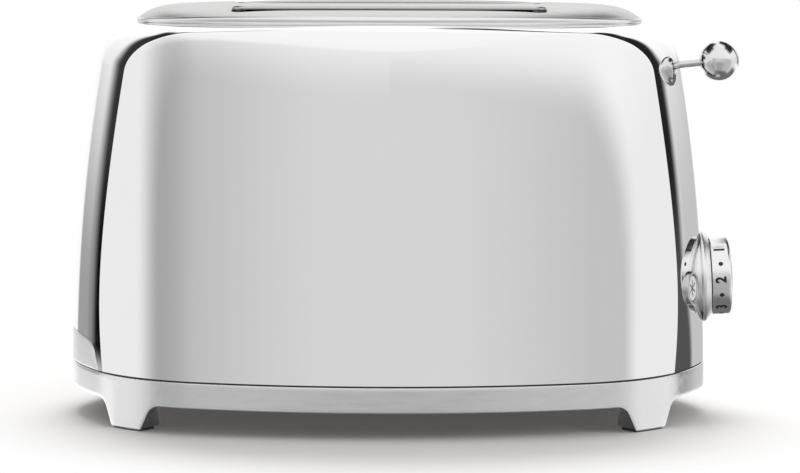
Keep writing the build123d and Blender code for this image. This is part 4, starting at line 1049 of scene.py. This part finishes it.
def warm_waves(width=0.7):
    """Three rising waves, the usual sign for warming."""
    bars = []
    for x in (-2.0, 0.0, 2.0):
        z = np.linspace(-3.0, 3.0, 13)
        line = np.stack([x + 0.55 * np.sin(z * 2.1), z], -1)
        bars += [stroke(a, b, width) for a, b in zip(line[:-1], line[1:])]
    return joined(bars)


for (where, body), (points, faces) in zip(SIDES, (snowflake(), warm_waves())):
    points[:, 2] = 0.75 + 0.15 * (np.hypot(points[:, 0], points[:, 1]) / 4.6)**2 + 0.03
    icon_mesh = mesh_of(f"{body}_icon", points, faces, weld=1e-5, outside=False)
    place(f"{body}_icon", icon_mesh, body, "button_white", crease=None, at=BUTTON_FRAMES[where])

# %% [markdown]
# ## Finishes
# Chrome and satin steel differ only in how they scatter what they mirror. Each finish here has its own
# pattern: faint polishing haze on the chrome, long hair lines on the brushed plate, fine grain on the
# satin parts. The patterns read the piece's own coordinates in metres.

# %% Materials from nodes
def node(node_tree, kind, inputs=None, **settings):
    """A node in a tree, with each of its inputs joined to a socket or set to a value."""
    made = node_tree.nodes.new(kind)
    for key, value in settings.items():
        setattr(made, key, value)
    for key, value in (inputs or {}).items():
        if isinstance(value, bpy.types.NodeSocket):
            node_tree.links.new(value, made.inputs[key])
        else:
            made.inputs[key].default_value = value
    return made


def finish(name, colour, metallic, roughness, scale, vary, stretch=(1, 1, 1), bump=0.0, bump_scale=900.0):
    """A material that varies over noise. One number for the colour stands for a faintly cool grey."""
    if isinstance(colour, float):
        colour = (colour, colour, colour + 0.005)
    material = bpy.data.materials.new(name)
    material.use_nodes = True
    inside = material.node_tree
    shader = inside.nodes["Principled BSDF"]
    shader.inputs["Metallic"].default_value = metallic
    own_place = node(inside, "ShaderNodeTexCoord").outputs["Object"]
    place_in_noise = node(inside, "ShaderNodeMapping", {"Vector": own_place, "Scale": stretch}).outputs[0]
    noise = {"Vector": place_in_noise, "Scale": scale, "Detail": 4.0}
    pattern = node(inside, "ShaderNodeTexNoise", noise).outputs["Fac"]
    shade = node(inside, "ShaderNodeMapRange", dict(enumerate((pattern, 0.3, 0.7, *roughness))))
    inside.links.new(shade.outputs["Result"], shader.inputs["Roughness"])
    dark, pale = ([min(1.0, c * (1 + side * vary)) for c in colour] + [1] for side in (-1, 1))
    tint = node(inside, "ShaderNodeMix", {0: pattern, 6: dark, 7: pale}, data_type="RGBA")
    inside.links.new(tint.outputs[2], shader.inputs["Base Color"])
    if bump:
        noise.update(Scale=bump_scale, Detail=3.0)
        grain = node(inside, "ShaderNodeTexNoise", noise).outputs["Fac"]
        relief = node(inside, "ShaderNodeBump", {"Height": grain, "Strength": bump, "Distance": 0.0001})
        inside.links.new(relief.outputs["Normal"], shader.inputs["Normal"])
    return material


# Slot: name, colour, metallic, roughness from and to, size of the pattern, strength of the pattern
FINISHES = {slot: finish(*row[:6], **(row[6] if len(row) > 6 else {})) for slot, row in {
    "chrome_shell": ("shell_chrome", 0.93, 1.0, (0.028, 0.05), 30, 0.01),
    "brushed_plate": ("plate_brushed", (0.62, 0.615, 0.61), 1.0, (0.26, 0.36), 420, 0.10,
                      {"stretch": (0.06, 1, 1), "bump": 0.05, "bump_scale": 1500}),
    "satin_base": ("base_satin_steel", 0.85, 0.9, (0.20, 0.27), 500, 0.05,
                   {"stretch": (0.1, 1, 1), "bump": 0.06}),
    "grip_satin": ("grip_satin_steel", 0.84, 0.75, (0.28, 0.36), 500, 0.05,
                   {"stretch": (1, 0.1, 1), "bump": 0.06}),
    "pad_rubber": ("pad_rubber_black", (0.03, 0.03, 0.032), 0.0, (0.7, 0.9), 400, 0.2, {"bump": 0.3}),
    "cover_plastic": ("cover_black", 0.045, 0.0, (0.5, 0.65), 700, 0.15, {"bump": 0.3}),
    "zinc_steel": ("zinc_sheet", (0.60, 0.61, 0.62), 1.0, (0.3, 0.5), 45, 0.14, {"bump": 0.05}),
    "polished_steel": ("rod_polished", (0.75, 0.75, 0.76), 1.0, (0.1, 0.2), 80, 0.04),
    "spring_steel": ("spring_wire", (0.45, 0.45, 0.46), 1.0, (0.25, 0.4), 200, 0.1),
    "core_iron": ("core_laminated", (0.30, 0.30, 0.32), 1.0, (0.4, 0.6), 300, 0.2,
                  {"stretch": (1, 8, 0.2), "bump": 0.3}),
    "coil_copper": ("coil_wound", (0.72, 0.36, 0.18), 1.0, (0.25, 0.4), 300, 0.25,
                    {"stretch": (0.2, 0.2, 8), "bump": 0.4}),
    "baffle_dark": ("baffle_black", (0.02, 0.02, 0.022), 0.0, (0.7, 0.85), 300, 0.2),
    "trim_chrome": ("trim_satin", 0.88, 1.0, (0.16, 0.21), 200, 0.02),
    "inner_plastic": ("inner_moulded", (0.10, 0.10, 0.11), 0.0, (0.45, 0.6), 500, 0.15, {"bump": 0.2}),
    "board_green": ("board_lacquered", (0.05, 0.22, 0.10), 0.0, (0.2, 0.4), 250, 0.3),
    "brass_pole": ("poles_brass", (0.72, 0.56, 0.26), 1.0, (0.25, 0.4), 200, 0.1),
    "knob_chrome": ("knob_polished", 0.80, 1.0, (0.15, 0.19), 60, 0.01),
    "stem_chrome": ("stem_polished", 0.70, 1.0, (0.14, 0.18), 60, 0.02),
    "dial_chrome": ("dial_satin", 0.88, 1.0, (0.20, 0.25), 300, 0.03, {"bump": 0.03}),
    "cap_chrome": ("cap_satin", 0.86, 1.0, (0.18, 0.23), 300, 0.03, {"bump": 0.03}),
    "button_white": ("button_glossy", (0.86, 0.86, 0.855), 0.0, (0.12, 0.18), 120, 0.02),
    "tray_steel": ("tray_rolled", (0.62, 0.62, 0.63), 1.0, (0.3, 0.45), 160, 0.1,
                   {"stretch": (0.1, 1, 1), "bump": 0.05}),
    "mica_board": ("mica_pressed", (0.60, 0.53, 0.42), 0.0, (0.35, 0.6), 140, 0.3, {"bump": 0.2}),
    "heating_ribbon": ("ribbon_oxidised", (0.28, 0.25, 0.23), 1.0, (0.4, 0.6), 400, 0.25),
    "guard_wire": ("guard_plated", (0.60, 0.60, 0.61), 1.0, (0.25, 0.4), 300, 0.12),
}.items()}
print(len(FINISHES), "finishes for slots")

# %% Every piece gets its finish
bezel_metal = finish("bezel_satin", 0.60, 1.0, (0.2, 0.26), 200, 0.03)
icon_ink = finish("icon_ink", (0.02, 0.02, 0.022), 0.0, (0.35, 0.5), 500, 0.3)
by_name = {
    "dial_numerals": finish("numeral_ink", (0.012, 0.012, 0.013), 0.0, (0.35, 0.5), 500, 0.3),
    "dial_ring_chrome": finish("ring_satin", 0.90, 1.0, (0.30, 0.36), 120, 0.02),
    "top_plate_bead": finish("bead_polished", 0.88, 1.0, (0.28, 0.34), 120, 0.02),
    # The collars round the slots are a plain dark grey steel, far darker than the plate.
    "slot_collars_brushed": finish("collar_dark_grey", (0.16, 0.155, 0.15), 1.0, (0.35, 0.5), 90, 0.15),
    "bezel_front_chrome": bezel_metal, "bezel_rear_chrome": bezel_metal,
    "defrost_icon": icon_ink, "reheat_icon": icon_ink}
slot_of_node = {part["node"]: part["material_slot"] for part in frame["record"]["subparts"]}
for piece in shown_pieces():
    slot_name = slot_of_node.get(piece.get("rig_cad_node"), piece.get("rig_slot"))
    if not piece.data.materials:
        piece.data.materials.append(None)
    for material_slot in piece.material_slots:
        material_slot.link = "OBJECT"
        material_slot.material = by_name.get(piece.name, FINISHES[slot_name])
# The base's inward and downward faces: dark grey, painted shade for the shadow under the body.
base.material_slots[1].material = finish("base_inside_painted_shade", 0.10, 0.4, (0.5, 0.7), 260, 0.2, bump=0.2)

# %% [markdown]
# ## The studio
# Polished metal shows the room, so the room is designed: a white surround, a long grey card in front, a
# dark card behind each end. The world draws them by direction, and only mirrored rays see them. Rays
# straight from the camera see plain white, and the floor keeps the soft shadow.

# %% Sums and shares by direction
world = bpy.data.worlds.new("studio")
bpy.context.scene.world = world
world.use_nodes = True
tree = world.node_tree
tree.nodes.clear()


def calc(operation, *values):
    """A sum of numbers and sockets, in the tree that is being drawn: the world's, and later the floor's."""
    return node(tree, "ShaderNodeMath", dict(enumerate(values)), operation=operation).outputs[0]


def plus(first, second):
    """Two values added."""
    return calc("ADD", first, second)


def times(first, *others):
    """The product of several values."""
    for value in others:
        first = calc("MULTIPLY", first, value)
    return first


def ease(value, start, end):
    """0 before start, 1 after end, smooth between them; start may be the greater."""
    ends = (start, end, 0, 1) if start < end else (end, start, 1, 0)
    inputs = dict(enumerate((value, *ends)))
    return node(tree, "ShaderNodeMapRange", inputs, interpolation_type="SMOOTHSTEP").outputs[0]


def painted(light, share, level):
    """The light so far, moved to a level by a share between 0 and 1."""
    return plus(times(light, calc("SUBTRACT", 1.0, share)), times(share, level))


def superellipse(across, up, power):
    """How far out a direction lies: 1 on the edge of a panel with rounded corners."""
    raised = (calc("POWER", calc("MAXIMUM", value, 0.0001), power) for value in (across, up))
    return calc("POWER", plus(*raised), 1 / power)


split = node(tree, "ShaderNodeSeparateXYZ", {0: node(tree, "ShaderNodeTexCoord").outputs["Generated"]})
DEGREES = 57.29578
bearing = times(calc("ARCTAN2", split.outputs[0], times(split.outputs[1], -1.0)), DEGREES)
height = times(calc("ARCSINE", split.outputs[2]), DEGREES)
aside = calc("ABSOLUTE", bearing)
print("bearing and height ready, in degrees")

# %% The room
# The surround: white, and brighter overhead
light = plus(0.89, times(0.11, ease(height, 3, 24)))
light = plus(light, times(0.05, ease(bearing, 20, 60), ease(height, 2, 10)))
light = plus(light, times(0.12, ease(aside, 146, 156)))

# The long card in front is a rounded panel: darker at its left end and lighter in the middle
above_eye = calc("DIVIDE", calc("MAXIMUM", height, 0.0), 15.2)
across = calc("DIVIDE", aside, 71.0)
on_right = ease(superellipse(across, above_eye, 1.7), 1.10, 0.90)
on_left = ease(superellipse(across, above_eye, 3.4), 1.13, 0.85)
card = painted(on_right, calc("LESS_THAN", bearing, 0.0), on_left)
card_level = plus(0.405, times(0.295, ease(bearing, -62, -8)))
light = painted(light, card, plus(card_level, times(-0.125, ease(bearing, 8, 44))))

# The floor that the base mirrors: in shade below the middle of the card, light beyond its ends
light = painted(light, times(ease(height, -3.2, -7), ease(aside, 46, 6)), 0.40)

# The wall behind each end, darker the lower it is
left_end, right_end = ease(height, -8.6, -7.4), ease(height, -10.6, -9.4)
wall_left = times(ease(bearing, -132, -136), ease(bearing, -152, -148), ease(height, 3, -6), left_end)
wall_right = times(ease(bearing, 132, 136), ease(bearing, 168, 160), ease(height, 5, -4), right_end)
light = painted(painted(light, wall_left, 0.36), wall_right, 0.57)

# A dark card behind each end; the left one is deeper, and both lean back and join overhead frames
above = calc("MAXIMUM", plus(height, -9.0), 0.0)
lean = times(0.034, times(above, above))
left_edge = plus(bearing, lean)
left_card = times(ease(bearing, -121, -125), ease(left_edge, -137.5, -131.5), ease(height, 38, 32), left_end)
light = painted(light, left_card, plus(0.004, times(0.03, ease(height, -4, 0))))
right_edge = calc("SUBTRACT", calc("SUBTRACT", bearing, lean), times(4.4, ease(height, -4, -8)))
right_card = times(ease(bearing, 121, 125), ease(right_edge, 135.0, 131.8), ease(height, 38, 32), right_end)
light = painted(light, right_card, plus(0.016, times(0.07, ease(height, -1, -6))))
frame_left = times(ease(bearing, -60, -84), ease(bearing, -168, -158), ease(height, 30, 34))
frame_right = times(ease(bearing, 60, 84), ease(bearing, 178, 173), ease(height, 31, 34))
light = painted(light, times(plus(frame_left, frame_right), ease(height, 72, 60)), 0.02)

# The table beyond the cards is lit, which brightens the ends of the satin base
lit_left = times(ease(bearing, -100, -112), ease(bearing, -172, -160), ease(height, -8.5, -10.5))
lit_right = times(ease(bearing, 100, 112), ease(bearing, 172, 160), ease(height, -10.5, -12.5), 0.5)
light = plus(light, times(0.5, plus(lit_left, lit_right)))

# Far below, the room is dark at the sides and behind, which shades everything that faces down there
away = calc("MAXIMUM", ease(aside, 70, 100), ease(height, -48, -64))
light = painted(light, times(ease(height, -20, -34), away), 0.16)
print("room drawn")

# %% What each kind of ray sees
EVEN_LIGHT = 0.42
rays = node(tree, "ShaderNodeLightPath")
seen = painted(EVEN_LIGHT, rays.outputs["Is Glossy Ray"], light)
strength = calc("MAXIMUM", seen, rays.outputs["Is Camera Ray"])
background = node(tree, "ShaderNodeBackground", {"Color": (1, 1, 1, 1), "Strength": strength})
node(tree, "ShaderNodeOutputWorld", {0: background.outputs[0]})
print("studio drawn")

# %% Floor
FLOOR_RADIUS = 460.0
floor_rings = [(radius, 0) for radius in np.linspace(0, FLOOR_RADIUS, 12)]
floor_mesh = mesh_of("floor", *lathe(floor_rings, 96), outside=False)
floor_mesh.transform(TO_MODEL)
floor = linked("floor", floor_mesh)
floor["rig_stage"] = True
floor_material = finish("floor_white", (0.86, 0.845, 0.83), 0.0, (0.75, 0.9), 3, 0.005)
tree = floor_material.node_tree      # calc and ease draw in this tree from here on
floor_shader = tree.nodes["Principled BSDF"]
floor_shader.inputs["Emission Color"].default_value = (1.0, 0.95, 0.91, 1)
floor_shader.inputs["Emission Strength"].default_value = 0.06


def mixed(share, first, second):
    """Two shaders mixed by a share."""
    return node(tree, "ShaderNodeMixShader", dict(enumerate((share, first, second)))).outputs[0]


on_floor = node(tree, "ShaderNodeTexCoord").outputs["Object"]
from_middle = node(tree, "ShaderNodeVectorMath", {0: on_floor}, operation="LENGTH").outputs["Value"]
lit = mixed(ease(from_middle, 0.14, 0.235), floor_shader.outputs[0], node(tree, "ShaderNodeEmission").outputs[0])
seen_in_metal = node(tree, "ShaderNodeLightPath").outputs["Is Glossy Ray"]
clear = node(tree, "ShaderNodeBsdfTransparent").outputs[0]
tree.links.new(mixed(seen_in_metal, lit, clear), tree.nodes["Material Output"].inputs[0])
floor.data.materials.append(floor_material)
print("floor laid")

# %% Lamps
def lamp(name, position, aim, size, watts):
    """A soft lamp with a rectangular face that looks at a point."""
    data = bpy.data.lights.new(name, "AREA")
    data.shape = "RECTANGLE"
    data.size, data.size_y = size
    data.energy = watts
    made = linked(name, data)
    made.location = position
    made.rotation_euler = (Vector(aim) - Vector(position)).to_track_quat("-Z", "Y").to_euler()
    made.visible_glossy = False
    made.visible_camera = False


lamp("over", (0.0, 0.75, 1.5), (0, -0.05, 0.0), (1.1, 0.9), 22.0)
lamp("side", (1.4, -0.6, 0.9), (0.15, 0, 0.1), (0.9, 0.9), 7.0)
print("lamps set")

# %% Sizes, and the end
visual_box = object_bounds()
for which, box in (("model", model_box), ("visual", visual_box)):
    print(which, [[round(v, 4) for v in corner] for corner in box])
